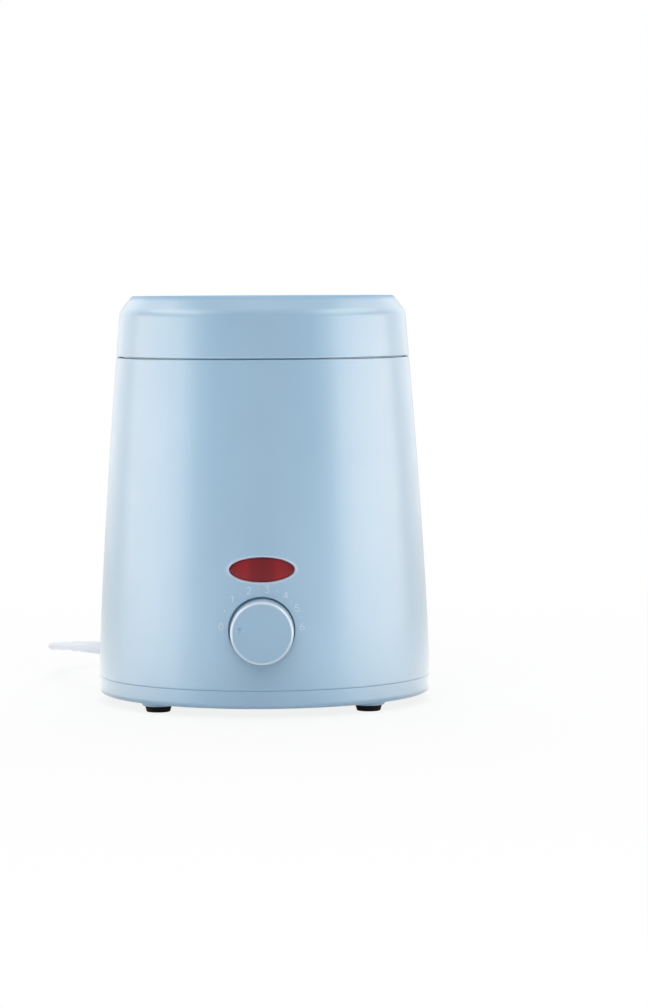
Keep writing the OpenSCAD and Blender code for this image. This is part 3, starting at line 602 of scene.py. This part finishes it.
def make_knob():
    """Knob: a shallow cup with a faintly dished face, a round edge, a hub for the shaft, and one dimple as
    its pointer, sunk by a cosine of the distance from its middle."""
    length = KNOB_FACE - KNOB_BACK
    hollow_r, ceiling = KNOB_R - 1.6, length - 1.8
    back = filleted([(hollow_r, ceiling, 0.5), (hollow_r, 0), (KNOB_R, 0, 0.3),
                     (KNOB_R - 0.14, length, 1.15), (0, length)], steps=10)[:-1]
    edge_r = back[-1, 0]
    outer, inner = 10.2, 6.0          # the dimple's ring of the face, which has the finest rows
    r = np.concatenate([np.linspace(edge_r, outer, 3)[1:], np.linspace(outer, inner, 34)[1:],
                        np.linspace(inner, 0, 10)[1:]])
    dish = 0.16
    face = np.column_stack([r, length - dish * (1 - (r / edge_r) ** 2)])
    shaft_r, hub_r, hub_z = 3.03, 5.2, 3.2
    inside = filleted([(shaft_r, 4.5), (shaft_r, hub_z), (hub_r, hub_z, 0.2), (hub_r, ceiling),
                       (hollow_r, ceiling)])
    shaft_hole = np.array([(0, length - 2.6), (shaft_r, length - 2.6)])
    cup = turned(np.vstack([back, face]))
    dimple_at, dimple_r, dimple_depth = 7.9, 1.35, 0.85
    dx = cup[..., 0] - dimple_at * math.sin(POINTER)
    dy = cup[..., 1] - dimple_at * math.cos(POINTER)
    near = np.clip(np.hypot(dx, dy) / dimple_r, 0, 1)
    on_face = cup[..., 2] > length - 0.6
    cup[..., 2] -= on_face * dimple_depth * (0.5 + 0.5 * np.cos(math.pi * near))
    hub = turned(np.vstack([shaft_hole, inside]))
    place = (0, -KNOB_BACK, KNOB_Z)
    return piece("heat_knob", [moved(cup, place, TO_FRONT), moved(hub, place, TO_FRONT)], sharp=40)


knob = make_knob()


def make_lens():
    """Lens: an elliptical window that follows the wall just inside its lip, with a flange behind."""
    unit = circle(1.0, 96)

    def ring(grow, inset, share=1.0):
        """The opening's ellipse, grown and then shrunk to a share, on the skin at that inset."""
        return lens_window.skin_ring(unit * [(LENS_A + grow) * share, (LENS_B + grow) * share], inset)

    flange, front, behind = 1.3, WALL + 0.15, WALL + 1.2
    share = np.linspace(0, 1, 14)
    face = [ring(-0.35, 0.5 + 0.12 * k * k, k) for k in share]
    edge = [ring(-0.1, 0.78), ring(0, 1.0), ring(0, front), ring(flange, front), ring(flange, behind)]
    back = [ring(flange, behind, k) for k in share[::-1]]
    return piece("red_lens", [np.array(face + edge + back)], sharp=40)


lens = make_lens()

# ---------------------------------------------------------------- dial print

DIGIT_H, DIGIT_W, STROKE = 2.35, 1.5, 0.25
DOT_R = 0.22
PRINT_FOOT, PRINT_TOP = -0.05, 0.02   # the print's depth in the wall and its rise above it
# places of the numbers and of the dots between them, across and up from the knob's axis
DIGIT_SPOTS = [(-14.6, 1.4), (-10.5, 11.3), (-4.6, 14.3), (1.8, 14.8), (8.5, 12.6), (12.4, 8.0), (14.2, 1.4)]
DOT_SPOTS = [(-13.3, 7.0), (-7.7, 13.0), (-1.3, 15.1), (5.3, 14.3), (10.5, 10.4), (13.7, 4.7)]


def bow(cx, cy, rx, ry, start, stop, count=18):
    """Part of an ellipse, from one angle to another, as pen points."""
    t = np.radians(np.linspace(start, stop, count))
    return np.stack([cx + rx * np.cos(t), cy + ry * np.sin(t)], -1)


def line(*points):
    """Straight pen strokes from point to point."""
    return np.array(points, float)


def digit_strokes(digit):
    """Pen strokes of a digit from 0 to 6, in a box 1 wide and 2 high about the origin."""
    if digit == 0:
        return [bow(0, 0, 0.5, 1, 0, 360, 40)]
    if digit == 1:
        return [line((-0.35, 0.62), (0.08, 1), (0.08, -1))]
    if digit == 2:
        return [np.vstack([bow(0, 0.5, 0.5, 0.5, 165, -35), line((-0.5, -1), (0.52, -1))])]
    if digit == 3:
        return [np.vstack([line((-0.45, 1), (0.45, 1), (-0.05, 0.22)),
                           bow(-0.05, -0.39, 0.55, 0.61, 90, -150)])]
    if digit == 4:
        return [line((0.2, -1), (0.2, 1), (-0.55, -0.45), (0.55, -0.45))]
    if digit == 5:
        return [np.vstack([line((0.42, 1), (-0.34, 1), (-0.42, 0.12)),
                           bow(-0.02, -0.38, 0.52, 0.62, 125, -145)])]
    return [np.vstack([line((0.3, 1)), bow(0.25, -0.25, 0.75, 1.05, 130, 185, 10)]),
            bow(0, -0.45, 0.5, 0.55, 0, 360, 36)]


def on_wall(flat, lift):
    """Flat (across, height) print laid on the front of the housing, lifted off it by a hair."""
    radius = side_radius(flat[..., 1]) + lift
    return np.stack([flat[..., 0], -np.sqrt(radius ** 2 - flat[..., 0] ** 2), flat[..., 1]], -1)


def pen_line(points, width):
    """A stroke of that width along pen points, as a low ridge on the wall."""
    way = np.gradient(points, axis=0)
    way /= np.linalg.norm(way, axis=1)[:, None]
    side = np.stack([-way[:, 1], way[:, 0]], -1) * width / 2
    left, right = points + side, points - side
    ridge = ((left, PRINT_FOOT), (left, PRINT_TOP), (right, PRINT_TOP), (right, PRINT_FOOT))
    return capped(np.stack([on_wall(edge, lift) for edge, lift in ridge], 1))


def refine(points):
    """The same stroke with its straight runs cut into short steps, and no point twice in a row."""
    step = 0.12
    parts = [np.linspace(a, b, max(2, int(np.linalg.norm(b - a) / step)), endpoint=False)
             for a, b in zip(points[:-1], points[1:])]
    fine = np.vstack(parts + [points[-1:]])
    moves = np.linalg.norm(np.diff(fine, axis=0), axis=1) > 1e-6
    return fine[np.concatenate([[True], moves])]


def make_dial():
    """Numbers 0 to 6 round the knob, upright, with a dot between each two."""
    grids = []
    for digit, spot in enumerate(DIGIT_SPOTS):
        centre = np.array(spot) + [0, KNOB_Z]
        for stroke in digit_strokes(digit):
            shaped = refine(stroke * [DIGIT_W, DIGIT_H / 2]) + centre
            grids.append(pen_line(shaped, STROKE))
    for spot in DOT_SPOTS:
        centre = np.array(spot) + [0, KNOB_Z]
        radii = np.array([0.0, 0.14, DOT_R])[:, None, None]
        disc = centre + circle(1, 20) * radii
        grids.append(np.concatenate([on_wall(disc, PRINT_TOP), on_wall(disc[-1:], PRINT_FOOT)]))
    return piece("dial_numbers", grids, sharp=60)


dial = make_dial()

# ---------------------------------------------------------------- feet

FOOT_PITCH_R = 53.7                   # distance of the feet from the pot's axis


def make_feet():
    """Four tapered rubber pads with rounded edges and a stem in the base cover, each as one piece."""
    stem_top = span("foot_1")[1][2]
    pad = filleted([(0, 0), (4.25, 0, 0.3), (4.88, 2.2, 0.1), (2.4, 2.2), (2.4, 5.6), (3.15, 5.6, 0.2),
                    (2, stem_top, 0.3), (0, stem_top)])
    feet = []
    for i in range(4):
        turn = spun(math.radians(45 + 90 * i))
        feet.append(piece(f"rubber_foot_{i + 1}", [moved(turned(pad, 48), (FOOT_PITCH_R, 0, 0)) @ turn.T]))
    return feet


feet = make_feet()

# ---------------------------------------------------------------- pot, bail and well


def make_pot():
    """Pressed pot: straight wall, stepped neck and a rim rolled outwards round a bead."""
    r, wall, bottom = 37.6, 1.0, POT_LOW[2]
    bead_r, panel = 1.3, 0.6          # the rim's bead, and how far the floor's middle is pressed up
    neck, rim = 41.0, POT_HIGH[2] - bead_r
    bead = np.array([neck + 0.6, rim])
    t = np.radians(np.linspace(-140, 155, 28))
    roll = bead + bead_r * np.stack([np.cos(t), np.sin(t)], -1)
    outside = filleted([
        (0, bottom + panel), (r - 6, bottom + panel, 2), (r - 3.2, bottom, 2), (r + wall, bottom, 4),
        (r + wall, DECK_Z - 1, 1.2), (neck, DECK_Z + 0.45, 0.6), (neck, rim - 1.1)], steps=8)
    floor = bottom + 1.2
    inside = filleted([
        (neck - wall, rim - 0.2), (neck - wall, DECK_Z + 1.4, 0.8), (r, DECK_Z - 0.6, 1.2),
        (r, floor, 3.2), (r - 6, floor + panel, 2), (0, floor + panel)], steps=8)
    return piece("wax_pot", [turned(np.vstack([outside, roll, inside]))], sharp=50)


pot = make_pot()


def make_bail():
    """Bail: wire bent to a half circle, its ends turned in through the ears."""
    radius, wire, pin, start = 46.3, 1.2, 1.1, 41.5
    bend, pivot_z, tilt = 2.2, 127, math.radians(3.6)
    t = np.radians(np.linspace(0, 90, 8))
    first = math.asin(bend / radius)
    elbow = np.stack([radius - bend + bend * np.sin(t), -bend + bend * np.cos(t)], -1)
    arc = -np.linspace(first * 1.3, math.pi / 2, 60)
    quarter_bow = radius * np.stack([np.cos(arc), np.sin(arc)], -1)
    half = np.vstack([[(start, 0), (start + 0.5, 0), (radius - bend - 0.3, 0)], elbow, quarter_bow])
    other = half[::-1][1:] * [-1, 1]
    flat = np.vstack([half, other])
    path = np.column_stack([flat, np.zeros(len(flat))])
    in_ear = flat[:, 1] > -1e-6
    size = np.where(in_ear, pin / wire, 1.0)
    size = np.convolve(np.pad(size, 2, mode="edge"), np.ones(5) / 5, "valid")
    tube = capped(sweep(path, circle(wire, 24), scale=size))
    c, s = math.cos(tilt), math.sin(tilt)
    turn = np.array([[1, 0, 0], [0, c, -s], [0, s, c]])
    return piece("bail_wire", [moved(tube, (0, 0, pivot_z), turn)], sharp=60)


bail = make_bail()


FLANGE_T = 1.2                        # thickness of the well's sheet


def make_collar():
    """Insulating collar that carries the well's rim."""
    r_out, cup_r, seat_r = MOUTH_R - 0.1, 40.9, LEDGE_R + 0.1
    web_z, skirt_r = DECK_Z - 3.7, r_out - 2.8
    profile = filleted([
        (cup_r, web_z), (cup_r, DECK_Z - FLANGE_T), (seat_r, DECK_Z - FLANGE_T), (seat_r, DECK_Z, 0.25),
        (r_out, DECK_Z, 0.6), (r_out, LEDGE_Z), (skirt_r, LEDGE_Z), (skirt_r, web_z)], closed=True)
    return piece("collar_ring", [(turned(profile), True, True)], sharp=40)


collar = make_collar()


def make_well():
    """Heated well: pressed cup with a flat rim flange and a stud under its floor."""
    inner, stud_r, stud_h = 39.3, 2, 9.5
    outer, low, flange_z = inner + FLANGE_T, CUP_LOW[2] + stud_h, DECK_Z - FLANGE_T
    profile = filleted([
        (0, CUP_LOW[2]), (stud_r, CUP_LOW[2], 0.3), (stud_r, low), (outer, low, 4.5),
        (outer, flange_z, 0.3), (LEDGE_R, flange_z, 0.3), (LEDGE_R, DECK_Z, 0.3), (inner, DECK_Z, 0.9),
        (inner, low + FLANGE_T, 3.3), (0, low + FLANGE_T)], steps=7)
    return piece("heated_well", [turned(profile)], sharp=40)


well = make_well()

# ---------------------------------------------------------------- materials


def linear(r, g, b):
    """sRGB bytes to Blender's linear colour."""
    c = np.array([r, g, b]) / 255
    return tuple(np.where(c <= 0.04045, c / 12.92, ((c + 0.055) / 1.055) ** 2.4)) + (1.0,)


def new_material(name, colour, roughness, metallic=0.0, **sockets):
    """Principled material with its constant values set on its own sockets."""
    mat = bpy.data.materials.new(name)
    mat.use_nodes = True
    tree = mat.node_tree
    shader = tree.nodes["Principled BSDF"]
    shader.inputs["Base Color"].default_value = colour
    shader.inputs["Roughness"].default_value = roughness
    shader.inputs["Metallic"].default_value = metallic
    for key, value in sockets.items():
        shader.inputs[key.replace("_", " ")].default_value = value
    return mat, tree, shader


def noise(tree, scale, detail=3.0, stretch=(1, 1, 1)):
    """Noise over object coordinates; stretch scales each axis."""
    place = tree.nodes.new("ShaderNodeTexCoord")
    mapping = tree.nodes.new("ShaderNodeMapping")
    mapping.inputs["Scale"].default_value = stretch
    tree.links.new(place.outputs["Object"], mapping.inputs["Vector"])
    tex = tree.nodes.new("ShaderNodeTexNoise")
    tex.inputs["Scale"].default_value = scale
    tex.inputs["Detail"].default_value = detail
    tree.links.new(mapping.outputs["Vector"], tex.inputs["Vector"])
    return tex.outputs["Fac"]


def ramp(tree, value, low, high, from_low=0.3, from_high=0.7):
    """Value mapped from one range to another."""
    node = tree.nodes.new("ShaderNodeMapRange")
    node.inputs["From Min"].default_value = from_low
    node.inputs["From Max"].default_value = from_high
    node.inputs["To Min"].default_value = low
    node.inputs["To Max"].default_value = high
    tree.links.new(value, node.inputs["Value"])
    return node.outputs["Result"]


def maths(tree, operation, *values):
    """Result of a math node fed with sockets and plain numbers."""
    node = tree.nodes.new("ShaderNodeMath")
    node.operation = operation
    for socket, value in zip(node.inputs, values):
        if isinstance(value, float):
            socket.default_value = value
        else:
            tree.links.new(value, socket)
    return node.outputs[0]


def axes_of(tree, coords="Object"):
    """X, Y and Z sockets of a shading point's coordinates."""
    place = tree.nodes.new("ShaderNodeTexCoord")
    split = tree.nodes.new("ShaderNodeSeparateXYZ")
    tree.links.new(place.outputs[coords], split.inputs["Vector"])
    return split.outputs


def length_of(tree, vector):
    """Length of a vector socket."""
    node = tree.nodes.new("ShaderNodeVectorMath")
    node.operation = "LENGTH"
    tree.links.new(vector, node.inputs[0])
    return node.outputs["Value"]


def tint(tree, value, dark, light):
    """Colour between two colours or colour sockets, by a value from 0 to 1."""
    node = tree.nodes.new("ShaderNodeMix")
    node.data_type = "RGBA"
    for socket, colour in (("A", dark), ("B", light)):
        if isinstance(colour, tuple):
            node.inputs[socket].default_value = colour
        else:
            tree.links.new(colour, node.inputs[socket])
    tree.links.new(value, node.inputs["Factor"])
    return node.outputs["Result"]


def bump(tree, value, shader, distance):
    """Relief of the surface's shading, that many metres deep."""
    node = tree.nodes.new("ShaderNodeBump")
    node.inputs["Strength"].default_value = 1.0
    node.inputs["Distance"].default_value = distance
    tree.links.new(value, node.inputs["Height"])
    tree.links.new(node.outputs["Normal"], shader.inputs["Normal"])


def shade(colour, factor):
    """The colour multiplied by a factor, up to white."""
    return tuple(min(1.0, c * factor) for c in colour[:3]) + (1.0,)


def moulded(name, colour, roughness, grain=2200.0, depth=4e-6, wander=0.04, **sockets):
    """Moulded plastic: fine spark-eroded grain, roughness that wanders a little, faint tone drift."""
    mat, tree, shader = new_material(name, colour, roughness, **sockets)
    drift = ramp(tree, noise(tree, 18.0, 2.0), 0.0, 1.0)
    tone = tint(tree, drift, shade(colour, 0.965), shade(colour, 1.02))
    tree.links.new(tone, shader.inputs["Base Color"])
    tree.links.new(ramp(tree, noise(tree, 90.0, 4.0), roughness - wander, roughness + wander),
                   shader.inputs["Roughness"])
    bump(tree, noise(tree, grain, 2.0), shader, depth)
    return mat


def painted_edge_highlight(mat, pale, height, a, b, start, full):
    """Painted highlight on the front: a paler colour that stands in for light caught by a rounded edge. None
    where a point's share of the ellipse (a, b) about that height is at start, and all of it at full."""
    tree = mat.node_tree
    colour = tree.nodes["Principled BSDF"].inputs["Base Color"]
    place = tree.nodes.new("ShaderNodeTexCoord")
    mapping = tree.nodes.new("ShaderNodeMapping")
    mapping.inputs["Scale"].default_value = (1 / (a * MM), 0, 1 / (b * MM))
    mapping.inputs["Location"].default_value = (0, 0, -height / b)
    tree.links.new(place.outputs["Object"], mapping.inputs["Vector"])
    share = length_of(tree, mapping.outputs["Vector"])
    front = maths(tree, "LESS_THAN", axes_of(tree)["Y"], 0.0)
    amount = maths(tree, "MULTIPLY", ramp(tree, share, 0.0, 1.0, start, full), front)
    tree.links.new(tint(tree, amount, colour.links[0].from_socket, pale), colour)
    return mat


def duller_top(mat, top):
    """Less gloss on a flat top than on the side below it."""
    tree = mat.node_tree
    shader = tree.nodes["Principled BSDF"]
    gloss = ramp(tree, axes_of(tree)["Z"], 1.0, 0.08, (top - 1.8) * MM, (top - 0.3) * MM)
    tree.links.new(gloss, shader.inputs["Specular IOR Level"])
    tree.links.new(gloss, shader.inputs["Coat Weight"])
    return mat


def joined(tree, **axes):
    """Vector of sockets given by axis."""
    node = tree.nodes.new("ShaderNodeCombineXYZ")
    for axis, value in axes.items():
        tree.links.new(value, node.inputs[axis])
    return node.outputs["Vector"]


def spun_metal(name, colour, roughness, radius, outer):
    """Turned metal: fine rings about the pot's axis from height and radius, cloudy roughness, and a darker
    tone outside a radius, painted shade that holds down the outside's brightness."""
    mat, tree, shader = new_material(name, colour, roughness, metallic=1.0)
    axes = axes_of(tree)
    distance = length_of(tree, joined(tree, X=axes["X"], Y=axes["Y"]))
    lines = tree.nodes.new("ShaderNodeTexNoise")
    lines.inputs["Scale"].default_value = 900.0
    lines.inputs["Detail"].default_value = 4.0
    tree.links.new(joined(tree, X=distance, Y=axes["Z"]), lines.inputs["Vector"])
    bump(tree, lines.outputs["Fac"], shader, 2e-6)
    cloudy = ramp(tree, noise(tree, 60.0, 4.0), roughness - 0.06, roughness + 0.09)
    tree.links.new(cloudy, shader.inputs["Roughness"])
    # painted shade: the colour outer replaces colour outside the radius
    tone = tint(tree, maths(tree, "GREATER_THAN", distance, radius * MM), colour, outer)
    black = (0, 0, 0, 1)
    ringed = tint(tree, ramp(tree, lines.outputs["Fac"], 0.0, 0.12), tone, black)
    tree.links.new(ringed, shader.inputs["Base Color"])
    return mat


def plain_metal(name, colour, roughness, depth=3e-6):
    """Plated or drawn metal: cloudy roughness and a fine scratchy bump."""
    mat, tree, shader = new_material(name, colour, roughness, metallic=1.0)
    cloudy = ramp(tree, noise(tree, 70.0, 5.0), roughness - 0.07, roughness + 0.08)
    tree.links.new(cloudy, shader.inputs["Roughness"])
    bump(tree, noise(tree, 400.0, 5.0, (1, 1, 0.15)), shader, depth)
    tone = tint(tree, ramp(tree, noise(tree, 35.0), 0.0, 1.0), shade(colour, 0.88), colour)
    tree.links.new(tone, shader.inputs["Base Color"])
    return mat


def lens_red():
    """Deep red clear moulding, satin, with a brighter red between its middle and each end."""
    mat, tree, shader = new_material("lens_red", linear(120, 28, 38), 0.3, Specular_IOR_Level=0.3)
    off = maths(tree, "ABSOLUTE", axes_of(tree)["X"])
    near = tree.nodes.new("ShaderNodeValToRGB")
    near.color_ramp.interpolation = "EASE"
    stops = [(0.0, linear(118, 24, 34)), (0.30, linear(124, 24, 34)), (0.52, linear(146, 24, 34)),
             (0.75, linear(134, 26, 36)), (1.0, linear(118, 26, 36))]
    while len(near.color_ramp.elements) < len(stops):
        near.color_ramp.elements.new(0.5)
    for element, (where, colour) in zip(near.color_ramp.elements, stops):
        element.position, element.color = where, colour
    tree.links.new(ramp(tree, off, 0.0, 1.0, 0.0, LENS_A * MM), near.inputs["Fac"])
    tree.links.new(near.outputs["Color"], shader.inputs["Base Color"])
    bump(tree, noise(tree, 260.0, 2.0), shader, 6e-6)
    return mat


def glass(name, colour):
    """Thin clear glass with a faint unevenness."""
    mat, tree, shader = new_material(name, colour, 0.05, Transmission_Weight=0.9, IOR=1.47)
    bump(tree, noise(tree, 300.0, 1.0), shader, 4e-6)
    return mat


def fibre(name, colour):
    """Felted fibre blanket."""
    mat, tree, shader = new_material(name, colour, 0.95, Sheen_Weight=0.3)
    strands = noise(tree, 900.0, 6.0, (1, 1, 0.25))
    tone = tint(tree, ramp(tree, strands, 0.0, 1.0), shade(colour, 0.8), colour)
    tree.links.new(tone, shader.inputs["Base Color"])
    bump(tree, strands, shader, 2.5e-4)
    return mat


BLUE = linear(146, 186, 215)
KNOB_BLUE = linear(142, 183, 213)
SATIN = {"Specular_IOR_Level": 1.0, "Coat_Weight": 1.0, "Coat_IOR": 1.7, "Coat_Roughness": 0.3}
POT_SHADE_RADIUS, WELL_SHADE_RADIUS = 38.2, 40.2    # radii outside which pot and well are painted darker, as shade
plastic_blue = duller_top(moulded("satin_blue_plastic", BLUE, 0.4, **SATIN), TOP)
# painted highlight: paler blue round the lens opening, for light caught by the housing's lip there
plastic_shell = painted_edge_highlight(moulded("satin_blue_housing", BLUE, 0.4, **SATIN), linear(192, 207, 230), LENS_Z,
                           LENS_A + 0.9, LENS_B + 0.65, 1.08, 0.97)
# painted highlight: paler blue on the knob's rounded edge and side, for light caught there
plastic_knob = painted_edge_highlight(moulded("satin_blue_knob", KNOB_BLUE, 0.36, grain=2600.0, **SATIN),
                          linear(206, 224, 240), KNOB_Z, KNOB_R, KNOB_R, 0.87, 0.95)
print_pale = moulded("pale_dial_print", linear(208, 220, 236), 0.5, grain=4000.0)
rubber = moulded("black_foot_rubber", linear(12, 12, 16), 0.7, grain=1500.0, depth=1.5e-5,
                 Specular_IOR_Level=0.2)
sheath = moulded("white_lead_sheath", linear(240, 243, 250), 0.42, grain=1800.0)
plug_white = moulded("white_plug_plastic", linear(230, 232, 240), 0.4)
tie_white = moulded("white_tie_strap", linear(212, 217, 226), 0.5)
collar_white = moulded("heat_proof_collar", linear(226, 226, 222), 0.5)
ceramic = moulded("glazed_ceramic", linear(232, 229, 220), 0.22, grain=300.0, depth=1e-5)
mica = moulded("mica_sheet", linear(186, 166, 128), 0.35, grain=500.0, depth=3e-5)
fibre_white = fibre("fibre_blanket", linear(228, 224, 212))
# the second colour of each is painted shade on the outside of pot and well
pot_metal = spun_metal("spun_pot_aluminium", linear(222, 223, 226), 0.27, POT_SHADE_RADIUS,
                       linear(150, 151, 156))
well_metal = spun_metal("pressed_well_aluminium", linear(205, 206, 210), 0.34, WELL_SHADE_RADIUS,
                        linear(175, 176, 180))
zinc = plain_metal("zinc_plated_steel", linear(196, 198, 202), 0.32)
chrome = plain_metal("bright_bail_wire", linear(222, 223, 226), 0.16, depth=1e-6)
copper = plain_metal("drawn_copper", linear(206, 142, 100), 0.3)
pin_metal = plain_metal("nickel_pin", linear(214, 210, 200), 0.22)
core_brown = moulded("brown_core", linear(112, 70, 44), 0.35)
core_blue = moulded("blue_core", linear(66, 110, 180), 0.35)
core_red = moulded("red_core", linear(180, 48, 42), 0.35)
lamp_glass = glass("lamp_glass", linear(250, 214, 190))
red_clear = lens_red()


def dress(obj, material, body=None, stands_for=()):
    """Gives a piece its finish and body, and hides the CAD nodes it stands for."""
    obj.data.materials.clear()
    obj.data.materials.append(material)
    if body:
        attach(obj, body)
        if stands_for:
            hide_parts(*stands_for)


dress(shell, plastic_shell, "housing", ["body_shell"])
dress(lid, plastic_blue, "lid", ["lid"])
dress(knob, plastic_knob, "knob", ["knob"])
dress(lens, red_clear, "housing", ["indicator_lens"])
dress(dial, print_pale, "housing")
dress(pot, pot_metal, "pot", ["inner_pot"])
dress(bail, chrome, "bail", ["bail_handle"])
dress(collar, collar_white, "housing", ["insulating_collar"])
dress(well, well_metal, "housing", ["heating_cup"])
dress(lead, sheath, "housing", ["cord_lead", "cord_coil", "cord_tail"])
dress(relief, sheath, "housing", ["strain_relief"])
dress(plug, plug_white, "housing", ["plug_body"])
dress(sleeves, plug_white, "housing", ["plug_pins"])
dress(tips, pin_metal, "housing", ["plug_pins"])
dress(tie, tie_white, "housing", ["cord_tie"])
for number, foot in enumerate(feet):
    dress(foot, rubber, "housing", [f"foot_{number + 1}"])

FINISHES = {
    "shell_plastic": plastic_blue, "plated_steel": zinc, "mica_band": mica, "glass_wool": fibre_white,
    "fuse_can": zinc, "copper": copper, "ceramic": ceramic, "lamp_glass": lamp_glass,
    "white_plastic": collar_white, "lead_sheath": sheath, "brown_wire": core_brown, "blue_wire": core_blue,
    "red_wire": core_red,
}
for row in frame["record"]["subparts"]:
    node = frame["nodes"][row["node"]]
    if not node.hide_render:
        dress(node, FINISHES[row["material_slot"]])

# ---------------------------------------------------------------- light and floor

SOFT_FRONT, SOFT_SIDE = 1.7, 0.0      # the world's soft light from front and back, and from the sides
GLOSS_FRONT = 0.08                    # the world's level in reflections of the front,
GLOSS_REST = 0.85                     # of the sides and the back,
GLOSS_TOP = 0.45                      # and of the sky
FRONT_FROM, FRONT_TO = 0.45, 0.85     # where the front begins and where it is reached, towards -Y
FLOOR_GLOW = 0.85                     # share of glow in the floor under the pot
FLOOR_FRONT = 0.5                     # the floor's level in reflections in front of the pot,
FLOOR_SIDE = 2.0                      # beside it,
FLOOR_REST = 0.85                     # and behind it
FLOOR_FALL = 0.006                    # share of the side's extra level that is left a metre behind
WARM = (1.0, 0.87, 0.72)              # tints of the side boxes and of the floor in reflections
FLOOR_WARM = (1.0, 0.96, 0.88)


def seen_rays(tree):
    """1 for the rays that see a background: from the camera, off gloss and through glass."""
    path = tree.nodes.new("ShaderNodeLightPath").outputs
    return maths(tree, "MAXIMUM", maths(tree, "MAXIMUM", path["Is Camera Ray"], path["Is Glossy Ray"]),
                 path["Is Transmission Ray"])


def smooth_step(tree, value, low, high):
    """Smooth step of a value: 0 at low, 1 at high."""
    node = tree.nodes.new("ShaderNodeMapRange")
    node.interpolation_type = "SMOOTHSTEP"
    node.inputs["From Min"].default_value = low
    node.inputs["From Max"].default_value = high
    tree.links.new(value, node.inputs["Value"])
    return node.outputs["Result"]


def blended(tree, factor, low, high):
    """Value between two numbers or sockets."""
    node = tree.nodes.new("ShaderNodeMix")
    for socket, value in (("A", low), ("B", high)):
        if isinstance(value, float):
            node.inputs[socket].default_value = value
        else:
            tree.links.new(value, node.inputs[socket])
    tree.links.new(factor, node.inputs["Factor"])
    return node.outputs["Result"]


def make_world():
    """White tent: soft light stronger from the front than from the sides, and reflections the other way
    round."""
    world = bpy.data.worlds.new("studio")
    bpy.context.scene.world = world
    world.use_nodes = True
    tree = world.node_tree
    path = tree.nodes.new("ShaderNodeLightPath").outputs
    toward = axes_of(tree, "Generated")
    aside = maths(tree, "ABSOLUTE", toward["X"])
    soft = blended(tree, smooth_step(tree, aside, 0.15, 0.85), SOFT_FRONT, SOFT_SIDE)
    front = smooth_step(tree, toward["Y"], -FRONT_FROM, -FRONT_TO)
    gloss = blended(tree, front, GLOSS_REST, GLOSS_FRONT)
    gloss = blended(tree, smooth_step(tree, toward["Z"], 0.3, 0.9), gloss, GLOSS_TOP)
    level = blended(tree, path["Is Glossy Ray"], soft, gloss)
    level = blended(tree, path["Is Transmission Ray"], level, 1.0)
    level = blended(tree, path["Is Camera Ray"], level, 1.0)
    background = tree.nodes["Background"]
    background.inputs["Color"].default_value = (1, 1, 1, 1)
    tree.links.new(level, background.inputs["Strength"])


def make_floor():
    """Pale table top that reads as white and keeps the object's shadow: its glow grows away from the pot,
    and in reflections it is brightest at the sides."""
    half = 4000.0
    grid = np.array([[(-half, -half, 0), (half, -half, 0)], [(-half, half, 0), (half, half, 0)]], float)
    floor = piece("table_top", [(grid, False, False)], outward=False)
    mat, tree, shader = new_material("white_table", (0.86, 0.86, 0.87, 1), 0.9, Specular_IOR_Level=0.0)
    output = tree.nodes["Material Output"]
    place = axes_of(tree)
    away = length_of(tree, tree.nodes.new("ShaderNodeTexCoord").outputs["Object"])
    behind = maths(tree, "MAXIMUM", place["Y"], 0.0)
    aside = maths(tree, "ADD", maths(tree, "ABSOLUTE", place["X"]), behind)
    side = blended(tree, maths(tree, "POWER", FLOOR_FALL, behind), FLOOR_REST, FLOOR_SIDE)
    mirrored = blended(tree, smooth_step(tree, aside, 0.03, 0.13), FLOOR_FRONT, side)
    glow = tree.nodes.new("ShaderNodeEmission")
    path = tree.nodes.new("ShaderNodeLightPath").outputs
    tree.links.new(tint(tree, path["Is Glossy Ray"], (1, 1, 1, 1), FLOOR_WARM + (1,)), glow.inputs["Color"])
    tree.links.new(blended(tree, path["Is Glossy Ray"], 1.0, mirrored), glow.inputs["Strength"])
    share = maths(tree, "MULTIPLY", seen_rays(tree), ramp(tree, away, FLOOR_GLOW, 1.0, 0.08, 0.5))
    mix = tree.nodes.new("ShaderNodeMixShader")
    tree.links.new(share, mix.inputs["Fac"])
    tree.links.new(shader.outputs["BSDF"], mix.inputs[1])
    tree.links.new(glow.outputs["Emission"], mix.inputs[2])
    tree.links.new(mix.outputs["Shader"], output.inputs["Surface"])
    floor.data.materials.append(mat)


def soft_light(name, place, aim, size, radiance, colour=(1, 1, 1), diffuse=True):
    """Rectangular soft light at a place, facing a point; radiance is what a mirror would show of it."""
    data = bpy.data.lights.new(name, "AREA")
    data.shape = "RECTANGLE"
    data.size, data.size_y = size
    data.energy = radiance * math.pi * size[0] * size[1]
    data.color = colour
    lamp = bpy.data.objects.new(name, data)
    lamp.location = place
    lamp.rotation_euler = (Vector(aim) - Vector(place)).to_track_quat("-Z", "Y").to_euler()
    lamp.visible_camera = False
    lamp.visible_diffuse = diffuse
    bpy.context.scene.collection.objects.link(lamp)


make_world()
make_floor()
for side, word, level in ((-1, "left", 2.15), (1, "right", 2.5)):
    soft_light(f"{word}_gloss", (side * 1.0, -0.1, 0.1), (0, -0.1, 0.1), (1.2, 0.46),
               level, WARM, diffuse=False)
    soft_light(f"{word}_high_gloss", (side * 1.0, -0.1, 0.95), (0, -0.1, 0.5), (1.2, 0.6),
               2.2, WARM, diffuse=False)
    soft_light(f"{word}_back_gloss", (side * 0.8, 1.0, 0.6), (0, 0, 0.5), (0.9, 1.3), 0.7, diffuse=False)
soft_light("top_box", (0, -0.2, 1.3), (0, 0, 0.1), (0.9, 0.9), 0.3)

scene = bpy.context.scene
scene.view_settings.view_transform = "Standard"
